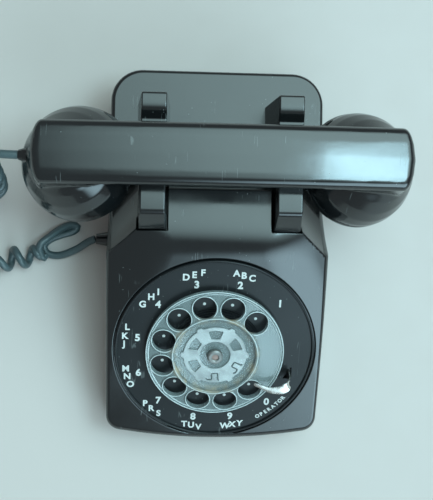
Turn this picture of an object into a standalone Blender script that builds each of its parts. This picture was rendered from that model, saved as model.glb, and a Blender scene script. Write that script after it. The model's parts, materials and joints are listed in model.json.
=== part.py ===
"""Rotary wall telephone lying on its back: a hollow moulded housing on a steel back plate, a finger-wheel
dial with its clockwork, a bell with two gongs, a sprung hook under the handset, and a coiled handset cord.

Units are metres. The origin is the middle of the wall face, +Y points up the wall, +X to the right as
the user faces the telephone, and +Z away from the wall.
"""
from math import atan2, cos, hypot, pi, radians, sin, sqrt, tan

import bmesh
import bpy
from mathutils import Matrix, Vector

MM = 0.001

# Clearances
GAP = 0.3 * MM                 # between fixed neighbours
RUNNING = 0.5 * MM             # beside pieces that move

# Housing
BODY_WIDTH = 127.4 * MM
DECK_LENGTH = 77.8 * MM        # upper deck, from the ridge to the top edge
BROW_LENGTH = 36.0 * MM        # from the top of the dial ring to the ridge
BROW_RISE = 3.0 * MM
DECK_DEPTH = 50.0 * MM         # wall face to upper deck
RING_LOW_DEPTH = 28.1 * MM     # wall face to the lowest point of the dial ring
RING_MARGIN = 1.4 * MM         # from the dial ring to the bottom edge
WALL = 3.0 * MM
TOP_CORNER = 19.0 * MM
BOTTOM_CORNER = 9.0 * MM
BOTTOM_BULGE = 4.5 * MM        # the bottom edge bows outwards by this much
BROW_ENTRY = 0.28              # slope of the brow where it leaves the dial ring
DROP_RUN = 6.0 * MM            # slope of the step from the ridge down to the deck
RAMP_LENGTH = 40.0 * MM        # scooped shoulder beside each hook ear
RAMP_EDGE_DROP = 1.0 * MM
SHOULDER_SINK = 8.5 * MM      # the shoulder's outer corner below the dial's plane
SHOULDER_START = 10.0 * MM     # the sink starts this far up from the middle of the dial

# Dial
DIAL_TILT = radians(27.0)
RING_RADIUS = 59.5 * MM
OPENING_RADIUS = 59.0 * MM
PLATE_THICKNESS = 2.4 * MM
PLATE_SINK = 0.4 * MM          # number plate below the housing's face
PLATE_RIM_WIDTH = 1.3 * MM
PLATE_RECESS_RADIUS = 25.0 * MM
WHEEL_RADIUS = 41.0 * MM
WHEEL_THICKNESS = 2.2 * MM
WHEEL_HUB_RADIUS = 24.6 * MM
WHEEL_HUB_TOP = 7.4 * MM       # above the housing's face
WHEEL_RIM_TOP = 5.6 * MM
FINGER_HOLES = 10
FINGER_HOLE_RADIUS = 6.75 * MM
FINGER_CIRCLE = 31.4 * MM
FIRST_HOLE = radians(40.0)
HOLE_STEP = radians(30.0)
SHAFT_RADIUS = 3.4 * MM
STOP_ANGLE = radians(-21.0)    # direction of the finger stop from the dial's centre
STOP_WIDTH = 5.0 * MM
STOP_THICKNESS = 1.2 * MM
STOP_REACH = 22.5 * MM         # how far the blade runs inwards over the wheel

# Dial clockwork, measured down from the housing's face
GEAR_MODULE = 0.6 * MM
DRIVE_TEETH = 60
PINION_TEETH = 10
PULSE_GEAR_TEETH = 30
GEAR_THICKNESS = 2.0 * MM
PULSE_ANGLE = radians(200.0)
GOVERNOR_ANGLE = radians(300.0)
MOVEMENT_RADIUS = 34.0 * MM
BASE_RADIUS = 40.0 * MM
BASE_DEPTH = 3.3 * MM
DRIVE_DEPTH = 6.5 * MM
PULSE_GEAR_DEPTH = 10.0 * MM
CAM_DEPTH = 13.2 * MM
CUP_DEPTH = 15.2 * MM
REAR_DEPTH = 25.4 * MM
SMALL_SHAFT_RADIUS = 1.2 * MM
CUP_RADIUS = 10.2 * MM

# Handset
HANDSET_LENGTH = 213.0 * MM
HANDLE_TOP_WIDTH = 32.0 * MM
HANDLE_WIDTH = 35.0 * MM
HANDLE_BOTTOM_WIDTH = 22.0 * MM
HANDLE_THICKNESS = 21.5 * MM
HANDSET_FROM_RIDGE = 18.2 * MM
HANDLE_LIFT = 15.0 * MM         # ridge to the underside of the handle
HANDLE_END_CORNER = 8.0 * MM
CUP_TILT = radians(18.0)
CAP_RADIUS = 33.0 * MM
CAP_INSET = 29.8 * MM          # from the handset's end to the middle of each cap's face
FACE_BELOW_TOP = 60.0 * MM
CUP_HEIGHT = 52.0 * MM
CAPSULE_RADIUS = 24.5 * MM

# Ears and hook
EAR_SPACING = 76.0 * MM
EAR_WIDTH = 14.0 * MM
EAR_DRAFT = 2.6 * MM
HOOK_EAR_BASE = 12.0 * MM      # height of each hook ear's hidden foot below the ridge
PIVOT_FROM_RIDGE = 6.0 * MM
PIVOT_DEPTH = 46.0 * MM
PIN_RADIUS = 2.0 * MM
BRACKET_HALF = 47.0 * MM       # middle of each bracket cheek

# Back plate and what stands on it
PLATE = 1.6 * MM
STANDING = PLATE + 0.5 * MM    # where pieces stand on the back plate
GONG_RADIUS = 19.0 * MM
GONG_SPACING = 48.0 * MM
GONG_TOP = 36.0 * MM
CLAPPER_REACH = 16.0 * MM
CASE_SCREW_DEPTH = 11.0 * MM

# Cord
CORD = 4.8 * MM
COIL = 15.6 * MM
CORD_HOLE_DEPTH = 15.0 * MM

# Places that follow from the sizes above
BODY_HEIGHT = RING_MARGIN + 2 * RING_RADIUS * cos(DIAL_TILT) + BROW_LENGTH + DECK_LENGTH
Y_BOTTOM = -BODY_HEIGHT / 2
Y_TOP = BODY_HEIGHT / 2
DIAL_Y = Y_BOTTOM + RING_MARGIN + RING_RADIUS * cos(DIAL_TILT)
DIAL_Z = RING_LOW_DEPTH + RING_RADIUS * sin(DIAL_TILT)
BROW_Y = DIAL_Y + RING_RADIUS * cos(DIAL_TILT)
BROW_Z = DIAL_Z + RING_RADIUS * sin(DIAL_TILT)
RIDGE_Y = BROW_Y + BROW_LENGTH
RIDGE_Z = BROW_Z + BROW_RISE
HANDLE_Y = RIDGE_Y + HANDSET_FROM_RIDGE
HANDLE_BOTTOM = RIDGE_Z + HANDLE_LIFT
HANDLE_TOP = HANDLE_BOTTOM + HANDLE_THICKNESS
SADDLE_Z = HANDLE_BOTTOM - RUNNING
EAR_OUTER = EAR_SPACING / 2 + EAR_WIDTH / 2
SHOULDER_X = EAR_OUTER + 1.0 * MM
SHOULDER_Y = RIDGE_Y - 19.5 * MM
SHOULDER_RUN = BODY_WIDTH / 2 - SHOULDER_X
SHOULDER_FALL = 0.81 * SHOULDER_RUN
PIVOT_Y = RIDGE_Y - PIVOT_FROM_RIDGE
BELL_Y = RIDGE_Y - 34.0 * MM
CORD_HOLE_Y = RIDGE_Y - 22.4 * MM
FERRULE_Z = HANDLE_TOP - 24.0 * MM

BLACK = (0.012, 0.013, 0.014, 1.0)
MATERIALS = {
    "housing_black": (BLACK, 0.12, 0.0),
    "plate_black": ((0.015, 0.015, 0.016, 1.0), 0.38, 0.0),
    "clear_plastic": ((0.75, 0.74, 0.68, 1.0), 0.15, 0.0),
    "bright_steel": ((0.72, 0.71, 0.68, 1.0), 0.2, 1.0),
    "zinc_steel": ((0.52, 0.52, 0.50, 1.0), 0.4, 1.0),
    "brass": ((0.66, 0.47, 0.2, 1.0), 0.3, 1.0),
    "gong_metal": ((0.60, 0.50, 0.33, 1.0), 0.3, 1.0),
    "coil_tape": ((0.30, 0.10, 0.04, 1.0), 0.6, 0.0),
    "phenolic": ((0.10, 0.05, 0.03, 1.0), 0.5, 0.0),
    "capsule_grey": ((0.35, 0.36, 0.36, 1.0), 0.45, 0.6),
    "cord_grey": ((0.04, 0.055, 0.055, 1.0), 0.45, 0.0),
}


# ---------------------------------------------------------------- modelling helpers
def material(slot):
    """The Principled material of a slot, made once."""
    if slot in bpy.data.materials:
        return bpy.data.materials[slot]
    colour, roughness, metallic = MATERIALS[slot]
    made = bpy.data.materials.new(slot)
    made.use_nodes = True
    shader = made.node_tree.nodes["Principled BSDF"]
    shader.inputs["Base Color"].default_value = colour
    shader.inputs["Roughness"].default_value = roughness
    shader.inputs["Metallic"].default_value = metallic
    made.diffuse_color = colour
    return made


def solid(name, verts, faces, slot):
    """A closed mesh object with its faces turned outwards."""
    mesh = bpy.data.meshes.new(name)
    mesh.from_pydata([tuple(v) for v in verts], [], faces)
    bm = bmesh.new()
    bm.from_mesh(mesh)
    bmesh.ops.recalc_face_normals(bm, faces=bm.faces)
    bm.to_mesh(mesh)
    bm.free()
    mesh.materials.append(material(slot))
    mesh.shade_smooth()
    mesh.set_sharp_from_angle(angle=radians(35))
    made = bpy.data.objects.new(name, mesh)
    bpy.context.collection.objects.link(made)
    return made


def prism(name, outline, low, high, slot, along="Z"):
    """An outline extruded from low to high. It lies in XY along Z, in YZ along X, and in XZ along Y."""
    order = {"Z": (0, 1, 2), "X": (2, 0, 1), "Y": (0, 2, 1)}[along]
    verts = []
    for level in (low, high):
        for a, b in outline:
            point = (a, b, level)
            verts.append([point[k] for k in order])
    n = len(outline)
    faces = [tuple(range(n)), tuple(range(2 * n - 1, n - 1, -1))]
    faces += [(k, (k + 1) % n, n + (k + 1) % n, n + k) for k in range(n)]
    return solid(name, verts, faces, slot)


def box(name, low, high, slot):
    """A box between two corners."""
    (x0, y0, z0), (x1, y1, z1) = low, high
    return prism(name, [(x0, y0), (x1, y0), (x1, y1), (x0, y1)], z0, z1, slot)


def turned(name, profile, slot, segments=32):
    """A closed profile of (radius, height) points turned about Z; points at radius 0 become poles."""
    verts, rings = [], []
    for r, z in profile:
        if r < 1e-9:
            rings.append([len(verts)])
            verts.append((0.0, 0.0, z))
            continue
        rings.append(list(range(len(verts), len(verts) + segments)))
        verts += [(r * cos(2 * pi * k / segments), r * sin(2 * pi * k / segments), z)
                  for k in range(segments)]
    faces = []
    for a, b in zip(rings, rings[1:] + rings[:1]):
        for k in range(segments):
            j = (k + 1) % segments
            corners = [a[k % len(a)], a[j % len(a)], b[j % len(b)], b[k % len(b)]]
            face = tuple(dict.fromkeys(corners))
            if len(face) > 2:
                faces.append(face)
    return solid(name, verts, faces, slot)


def rod(name, radius, low, high, slot, segments=16):
    """A plain round bar along Z."""
    return turned(name, [(0, low), (radius, low), (radius, high), (0, high)], slot, segments)


def washer(name, inner, outer, low, high, slot, segments=32):
    """A flat ring about Z."""
    return turned(name, [(inner, low), (outer, low), (outer, high), (inner, high)], slot, segments)


def guide(piece):
    """Marks a piece that only shapes others."""
    piece.hide_render = True
    piece.display_type = "WIRE"
    return piece


def combine(target, other, operation):
    """Adds a Boolean of the other piece, which becomes a guide."""
    step = target.modifiers.new(operation.title(), "BOOLEAN")
    step.operation = operation
    step.solver = "EXACT"
    step.object = guide(other)
    return target


def cut(target, other):
    return combine(target, other, "DIFFERENCE")


def join(target, other):
    return combine(target, other, "UNION")


def keep(target, other):
    return combine(target, other, "INTERSECT")


def place(piece, location=(0, 0, 0), rotation=None, parent=None):
    """Sets a piece's place under its parent; rotation is (angle, axis)."""
    turn = Matrix.Rotation(*((rotation[0], 4, rotation[1]) if rotation else (0.0, 4, "X")))
    piece.parent = parent
    piece.matrix_local = Matrix.Translation(location) @ turn
    return piece


def empty(name, location, rotation=None):
    made = bpy.data.objects.new(name, None)
    bpy.context.collection.objects.link(made)
    return place(made, location, rotation)


def arc(centre, radius, start, end, steps):
    """Points on a circle, both ends included; angles in degrees."""
    angles = [radians(start + (end - start) * k / steps) for k in range(steps + 1)]
    return [(centre[0] + radius * cos(a), centre[1] + radius * sin(a)) for a in angles]


def offset_path(path, distance):
    """An open path moved sideways to its right by a distance, with mitred corners."""
    moved = []
    for k, (x, y) in enumerate(path):
        normals = []
        for a, b in ((k - 1, k), (k, k + 1)):
            if a >= 0 and b < len(path):
                dx, dy = path[b][0] - path[a][0], path[b][1] - path[a][1]
                normals.append((dy / hypot(dx, dy), -dx / hypot(dx, dy)))
        nx, ny = (sum(n[i] for n in normals) / len(normals) for i in (0, 1))
        stretch = distance / (nx * nx + ny * ny)
        moved.append((x + nx * stretch, y + ny * stretch))
    return moved


def smooth_step(t):
    t = min(max(t, 0.0), 1.0)
    return t * t * (3 - 2 * t)


def spline(points, spacing):
    """Evenly spaced points on a smooth curve through the given ones."""
    pts = [Vector(p) for p in points]
    pts = [2 * pts[0] - pts[1]] + pts + [2 * pts[-1] - pts[-2]]
    fine = []
    for k in range(1, len(pts) - 2):
        a, b, c, d = pts[k - 1:k + 3]
        for j in range(24):
            t = j / 24
            fine.append(0.5 * (2 * b + (c - a) * t + (2 * a - 5 * b + 4 * c - d) * t ** 2
                               + (3 * b - a - 3 * c + d) * t ** 3))
    fine.append(pts[-2])
    reach = [0.0]
    for a, b in zip(fine, fine[1:]):
        reach.append(reach[-1] + (b - a).length)
    count = max(2, round(reach[-1] / spacing))
    even, k = [], 0
    for step in range(count + 1):
        goal = reach[-1] * step / count
        while k < len(reach) - 2 and reach[k + 1] < goal:
            k += 1
        even.append(fine[k].lerp(fine[k + 1], (goal - reach[k]) / (reach[k + 1] - reach[k])))
    return even


def tube(name, points, diameter, slot, spacing, fineness=2):
    """A round cord along a route, as a bevelled curve with filled ends."""
    curve = bpy.data.curves.new(name, "CURVE")
    curve.dimensions = "3D"
    curve.bevel_depth = diameter / 2
    curve.bevel_resolution = fineness
    curve.use_fill_caps = True
    route = spline(points, spacing)
    line = curve.splines.new("POLY")
    line.points.add(len(route) - 1)
    for point, place_ in zip(line.points, route):
        point.co = (*place_, 1.0)
    curve.materials.append(material(slot))
    made = bpy.data.objects.new(name, curve)
    bpy.context.collection.objects.link(made)
    return made


def screw(name, location, parent=None, length=6.0 * MM, rotation=None, radius=1.5 * MM, slot="zinc_steel"):
    """A pan-head screw standing on +Z, its head's underside at the location."""
    head, crown, thick = 2.1 * radius, 1.6 * radius, 1.3 * radius
    profile = [(0, -length), (radius, -length), (radius, 0), (head, 0), (head, 0.6 * thick), (crown, thick),
               (0, thick)]
    return place(turned(name, profile, slot, 10), location, rotation, parent)


def hole(target, location, radius, depth, parent=None, rotation=None):
    """Drills both ways along the local Z by depth."""
    drill = rod(target.name + "_drill", radius, -depth, depth, "zinc_steel", 12)
    return cut(target, place(drill, location, rotation, parent))


# ---------------------------------------------------------------- housing
def face_height(y):
    """Height of the dial's sloping face at y."""
    return DIAL_Z + (y - DIAL_Y) * tan(DIAL_TILT)


def brow_height(y):
    """Height of the convex brow between the dial ring and the ridge."""
    t = (y - BROW_Y) / BROW_LENGTH
    start, end = BROW_ENTRY * BROW_LENGTH, 0.0
    return ((2 * t ** 3 - 3 * t ** 2 + 1) * BROW_Z + (t ** 3 - 2 * t ** 2 + t) * start
            + (3 * t ** 2 - 2 * t ** 3) * RIDGE_Z + (t ** 3 - t ** 2) * end)


def front_view(inset):
    """Outline of the housing seen along Z, moved inwards by inset."""
    half, radius, low_radius = BODY_WIDTH / 2 - inset, TOP_CORNER - inset, BOTTOM_CORNER - inset
    low, high = Y_BOTTOM + inset, Y_TOP - inset
    flat = half - low_radius
    right = [(flat * k / 6, low + BOTTOM_BULGE * (k / 6) ** 2) for k in range(6)]
    right += arc((half - low_radius, low + BOTTOM_BULGE + low_radius), low_radius, -82, 0, 5)
    right += arc((half - radius, high - radius), radius, 0, 90, 8)
    return right + [(-x, y) for x, y in reversed(right[1:])]


def side_view(inset):
    """Outline of the housing seen along X, its upper edge moved inwards by inset."""
    beyond = 30 * MM
    top = [(Y_BOTTOM - beyond, face_height(Y_BOTTOM - beyond)), (BROW_Y, BROW_Z)]
    steps = 8
    top += [(y, brow_height(y)) for y in (BROW_Y + BROW_LENGTH * k / steps for k in range(1, steps))]
    top += [(RIDGE_Y - 1.5 * MM, RIDGE_Z), (RIDGE_Y + 0.3 * MM, RIDGE_Z - 0.7 * MM),
            (RIDGE_Y + 1.2 * MM, RIDGE_Z - 2.5 * MM)]
    top += [(RIDGE_Y + DROP_RUN, DECK_DEPTH), (Y_TOP + beyond, DECK_DEPTH)]
    top = offset_path(top, inset)
    return top + [(Y_TOP + beyond, -beyond), (Y_BOTTOM - beyond, -beyond)]


def ramp(side, inset):
    """What is scooped away beyond one shoulder's diagonal edge."""
    run, fall = SHOULDER_RUN, SHOULDER_FALL
    nx, ny = fall / hypot(run, fall), run / hypot(run, fall)
    x0, x1 = SHOULDER_X - inset, BODY_WIDTH
    tops = [brow_height(SHOULDER_Y), face_height(SHOULDER_Y - fall) - SHOULDER_SINK]
    steps = 8
    verts = []
    for x in (x0, x1):
        top = tops[0] + (tops[1] - tops[0]) * (x - SHOULDER_X) / run - RAMP_EDGE_DROP
        profile = [(-inset, RIDGE_Z * 2)]
        for k in range(steps + 1):
            t = k / steps
            profile.append((RAMP_LENGTH * t - inset, DECK_DEPTH - inset + (top - DECK_DEPTH) * (1 - t) ** 2))
        profile += [(BODY_HEIGHT, DECK_DEPTH - inset), (BODY_HEIGHT, RIDGE_Z * 2)]
        verts += [(side * x, SHOULDER_Y + (s - nx * (x - SHOULDER_X)) / ny, z) for s, z in profile]
    n = len(profile)
    faces = [tuple(range(n)), tuple(range(2 * n - 1, n - 1, -1))]
    faces += [(k, (k + 1) % n, n + (k + 1) % n, n + k) for k in range(n)]
    return solid(f"ramp_{side}_{inset:.4f}", verts, faces, "housing_black")


def shoulder_plane(side, inset):
    """What is cut away above the plane that eases each shoulder's outer corner down from the dial's plane."""
    outer_y, start_y = SHOULDER_Y - SHOULDER_FALL, DIAL_Y + SHOULDER_START
    inner = Vector((SHOULDER_X, SHOULDER_Y, brow_height(SHOULDER_Y)))
    outer = Vector((BODY_WIDTH / 2, outer_y, face_height(outer_y) - SHOULDER_SINK))
    start = Vector((BODY_WIDTH / 2, start_y, face_height(start_y)))
    normal = (outer - start).cross(inner - outer).normalized()
    verts = []
    for x, y in ((EAR_SPACING / 2, 2 * DIAL_Y), (BODY_WIDTH, 2 * DIAL_Y), (BODY_WIDTH, HANDLE_Y),
                 (EAR_SPACING / 2, HANDLE_Y)):
        low = outer.z - (normal.x * (x - outer.x) + normal.y * (y - outer.y) + inset) / normal.z
        verts += [(side * x, y, low), (side * x, y, low + BODY_HEIGHT)]
    faces = [(0, 2, 4, 6), (1, 3, 5, 7)]
    faces += [(2 * k, (2 * k + 2) % 8, (2 * k + 3) % 8, 2 * k + 1) for k in range(4)]
    return solid(f"shoulder_{side}_{inset:.4f}", verts, faces, "housing_black")


def housing_block(name, inset, low):
    """The housing's outer form, or its hollow, without ears."""
    block = prism(name, front_view(inset), low, 2 * RIDGE_Z, "housing_black")
    keep(block, prism(name + "_profile", side_view(inset), -BODY_WIDTH, BODY_WIDTH, "housing_black", "X"))
    for side in (-1, 1):
        cut(block, ramp(side, inset))
        cut(block, shoulder_plane(side, inset))
    return block


def drafted(name, outline, side, top, slot):
    """An ear: a YZ outline extruded across X, wider towards its foot by the draft on each side."""
    verts = []
    for edge in (-1, 1):
        for y, z in outline:
            grow = EAR_DRAFT * min(1.0, max(0.0, (top - z) / (top - DECK_DEPTH)))
            verts.append((side * (EAR_SPACING / 2 + edge * (EAR_WIDTH / 2)) + side * edge * grow, y, z))
    n = len(outline)
    faces = [tuple(range(n)), tuple(range(2 * n - 1, n - 1, -1))]
    faces += [(k, (k + 1) % n, n + (k + 1) % n, n + k) for k in range(n)]
    return solid(name, verts, faces, slot)


def upper_ear(side):
    """Fixed ear above the handle, with a low saddle under it."""
    top, face = SADDLE_Z + 2.5 * MM, HANDLE_Y + HANDLE_WIDTH / 2 + 2.5 * MM
    outline = [(face + 19 * MM, DECK_DEPTH - WALL / 2), (face + 16 * MM, top), (face + 9 * MM, top)]
    outline += arc((face + 9 * MM, top - 8.5 * MM), 8.5 * MM, 105, 140, 3)
    outline += [(face - 1.2 * MM, SADDLE_Z), (HANDLE_Y + 4 * MM, SADDLE_Z),
                (HANDLE_Y + 4 * MM, SADDLE_Z - 5 * MM),
                (face - 4 * MM, SADDLE_Z - 13 * MM), (face - 3 * MM, DECK_DEPTH - WALL / 2)]
    return drafted(f"upper_ear_{side}", outline, side, top, "housing_black")


def make_housing(dial_seat):
    housing = housing_block("housing", 0.0, 0.0)
    for side in (-1, 1):
        join(housing, upper_ear(side))
    cut(housing, housing_block("hollow", WALL, -10 * MM))
    opening = rod("dial_opening", OPENING_RADIUS, -WALL - 0.6 * MM, 12 * MM, "housing_black", 64)
    cut(housing, place(opening, parent=dial_seat))
    for side in (-1, 1):
        inner, outer = EAR_SPACING / 2 - EAR_WIDTH / 2 - 2.2 * MM, EAR_OUTER + 2.2 * MM
        x0, x1 = sorted((side * inner, side * outer))
        low = (x0, hook_ear_front() - RUNNING, RIDGE_Z - HOOK_EAR_BASE - RUNNING)
        cut(housing, box(f"ear_notch_{side}", low, (x1, HANDLE_Y, 2 * RIDGE_Z), "housing_black"))
    hole(housing, (-BODY_WIDTH / 2, CORD_HOLE_Y, CORD_HOLE_DEPTH), 4.6 * MM, 8 * MM, rotation=(pi / 2, "Y"))
    hole(housing, (0, Y_BOTTOM, CASE_SCREW_DEPTH), 2.3 * MM, 12 * MM, rotation=(pi / 2, "X"))
    counterbore = rod("counterbore", 4.0 * MM, -1.7 * MM, 10 * MM, "housing_black", 20)
    cut(housing, place(counterbore, (0, Y_BOTTOM, CASE_SCREW_DEPTH), (pi / 2, "X")))




def make_back_plate():
    plate = prism("back_plate", front_view(WALL + 2 * GAP), 0, PLATE, "zinc_steel")
    tab_y = Y_BOTTOM + 12 * MM
    join(plate, box("case_tab", (-9 * MM, tab_y, PLATE / 2), (9 * MM, tab_y + PLATE, 19 * MM), "zinc_steel"))
    hole(plate, (0, tab_y, CASE_SCREW_DEPTH), 2.0 * MM, 5 * MM, rotation=(pi / 2, "X"))
    for x in (-50 * MM, 50 * MM):
        for y in (Y_BOTTOM + 27 * MM, Y_TOP - 22 * MM):
            hole(plate, (x, y, 0), 3.2 * MM, 5 * MM)
    wires = box("wire_opening", (-9 * MM, RIDGE_Y + 6 * MM, -MM), (9 * MM, RIDGE_Y + 16 * MM, 5 * MM),
                "zinc_steel")
    cut(plate, wires)
    screw("case_screw", (0, Y_BOTTOM + 1.3 * MM, CASE_SCREW_DEPTH), rotation=(pi / 2, "X"), length=14 * MM,
          radius=1.6 * MM)


# ---------------------------------------------------------------- dial front
def make_number_plate(dial_seat):
    radius, top = OPENING_RADIUS - 0.4 * MM, -PLATE_SINK
    under, inner = top - PLATE_THICKNESS, SHAFT_RADIUS + 0.8 * MM
    profile = [(inner, under), (radius, under), (radius, 0.5 * MM), (radius - 0.4 * MM, 0.8 * MM),
               (radius - PLATE_RIM_WIDTH + 0.4 * MM, 0.8 * MM), (radius - PLATE_RIM_WIDTH, top),
               (PLATE_RECESS_RADIUS, top), (PLATE_RECESS_RADIUS - 0.8 * MM, top - MM), (inner, top - MM)]
    plate = place(turned("dial_number_plate", profile, "plate_black", 64), parent=dial_seat)
    x, y = stop_root()
    half, thick = STOP_WIDTH / 2 + GAP, STOP_THICKNESS / 2 + GAP
    slot_low = (x - thick, y - half, -2 * PLATE_THICKNESS)
    cut(plate, place(box("stop_slot", slot_low, (x + thick, y + half, 5 * MM), "plate_black"),
                     parent=dial_seat))


def stop_root():
    """Where the finger stop comes out of the number plate, in the dial's plane."""
    reach = WHEEL_RADIUS + 5.0 * MM
    return reach * cos(STOP_ANGLE), reach * sin(STOP_ANGLE)


def make_finger_stop(dial_seat):
    """A bent steel blade: up out of its slot, then inwards over the finger wheel."""
    x, y = stop_root()
    over = WHEEL_HUB_TOP + 1.6 * MM
    path = [(x, -4.5 * MM), (x, over - 3.0 * MM)]
    path += arc((x - 3.0 * MM, over - 3.0 * MM), 3.0 * MM, 20, 80, 4)
    path += [(x - STOP_REACH, over - 0.4 * MM)]
    near, far = offset_path(path, -STOP_THICKNESS / 2), offset_path(path, STOP_THICKNESS / 2)
    outline = near + far[::-1]
    blade = prism("finger_stop", outline, y - STOP_WIDTH / 2, y + STOP_WIDTH / 2, "bright_steel", "Y")
    place(blade, parent=dial_seat)


def make_finger_wheel(dial_seat):
    slope = (WHEEL_HUB_TOP - WHEEL_RIM_TOP) / (WHEEL_RADIUS - WHEEL_HUB_RADIUS)
    floor = WHEEL_HUB_TOP - 2.4 * MM
    inner, hub, rim = SHAFT_RADIUS + GAP, WHEEL_HUB_RADIUS, WHEEL_RADIUS
    profile = [(inner, floor - 1.8 * MM), (hub - 2 * MM, floor - 1.8 * MM),
               (hub, WHEEL_HUB_TOP - WHEEL_THICKNESS), (rim, WHEEL_RIM_TOP - WHEEL_THICKNESS),
               (rim, WHEEL_RIM_TOP + 0.7 * MM), (rim - 0.5 * MM, WHEEL_RIM_TOP + MM),
               (rim - 1.5 * MM, WHEEL_RIM_TOP + MM), (rim - 2 * MM, WHEEL_RIM_TOP + 2 * MM * slope),
               (hub, WHEEL_HUB_TOP), (hub - MM, WHEEL_HUB_TOP), (hub - MM, floor), (inner, floor)]
    wheel = place(turned("finger_wheel", profile, "clear_plastic", 48), parent=dial_seat)
    for k in range(FINGER_HOLES):
        angle = FIRST_HOLE + HOLE_STEP * k
        drill = rod(f"finger_drill_{k}", FINGER_HOLE_RADIUS, -2 * MM, 12 * MM, "clear_plastic", 16)
        cut(wheel, place(drill, (FINGER_CIRCLE * cos(angle), FINGER_CIRCLE * sin(angle), 0),
                         parent=dial_seat))


def make_wheel_centre(dial_seat):
    """The clamp spider, the clear card cover and the nut over the finger wheel's hub."""
    floor, inner = WHEEL_HUB_TOP - 2.4 * MM, SHAFT_RADIUS + GAP
    radius = WHEEL_HUB_RADIUS - 1.0 * MM - GAP
    clamp = washer("wheel_clamp", inner, radius - 4.5 * MM, floor + GAP, floor + 1.0 * MM, "bright_steel")
    place(clamp, parent=dial_seat)
    for k in range(6):
        window = prism(f"clamp_window_{k}", [(10 * MM, -2.4 * MM), (15.5 * MM, -4.2 * MM),
                                             (15.5 * MM, 4.2 * MM),
                                             (10 * MM, 2.4 * MM)], -MM, 20 * MM, "bright_steel")
        cut(clamp, place(window, rotation=(radians(30 + 60 * k), "Z"), parent=dial_seat))
    low = floor + 1.0 * MM + GAP
    cover = washer("card_cover", inner, radius, low, low + 0.9 * MM, "clear_plastic", 48)
    place(cover, parent=dial_seat)
    nut_low = low + 0.9 * MM + GAP
    nut = turned("dial_nut", [(0, nut_low), (3.9 * MM, nut_low), (3.9 * MM, nut_low + 1.2 * MM),
                              (3.2 * MM, nut_low + 1.9 * MM), (0, nut_low + 1.9 * MM)], "bright_steel", 24)
    place(nut, parent=dial_seat)
    shaft = rod("dial_shaft", SHAFT_RADIUS, -REAR_DEPTH - 1.4 * MM, nut_low - GAP, "zinc_steel")
    place(shaft, parent=dial_seat)


# ---------------------------------------------------------------- dial clockwork
def gear(name, teeth, bore, low, slot, parent, location=(0, 0, 0), phase=0.0):
    """A spur gear with slim straight-sided teeth and a bore; phase is in tooth pitches."""
    pitch = GEAR_MODULE * teeth / 2
    root, tip, step = pitch - 0.9 * GEAR_MODULE, pitch + 0.55 * GEAR_MODULE, 2 * pi / teeth
    outline = []
    for k in range(teeth):
        for share, radius in ((-0.24, root), (-0.10, tip), (0.10, tip), (0.24, root)):
            angle = (k + phase + share) * step
            outline.append((radius, angle))
    outline = [(r * cos(a), r * sin(a)) for r, a in outline]
    wheel = place(prism(name, outline, low, low + GEAR_THICKNESS, slot), location, parent=parent)
    return hole(wheel, location, bore, 30 * MM, parent)


def mesh_phase(teeth, bearing, other_teeth, other_phase):
    """Phase in pitches that puts a gap of this gear against a tooth of the other one.

    bearing is the direction from the other gear to this one."""
    other_pitches = bearing / (2 * pi / other_teeth) - other_phase
    here = (bearing + pi) / (2 * pi / teeth)
    return here + other_pitches + 0.5


def movement_points():
    """Axes of the pulse shaft and the governor in the dial's plane."""
    reach = GEAR_MODULE * (DRIVE_TEETH + PINION_TEETH) / 2
    pulse = (reach * cos(PULSE_ANGLE), reach * sin(PULSE_ANGLE))
    reach = GEAR_MODULE * (PULSE_GEAR_TEETH + PINION_TEETH) / 2
    governor = (pulse[0] + reach * cos(GOVERNOR_ANGLE), pulse[1] + reach * sin(GOVERNOR_ANGLE))
    return pulse, governor


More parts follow.
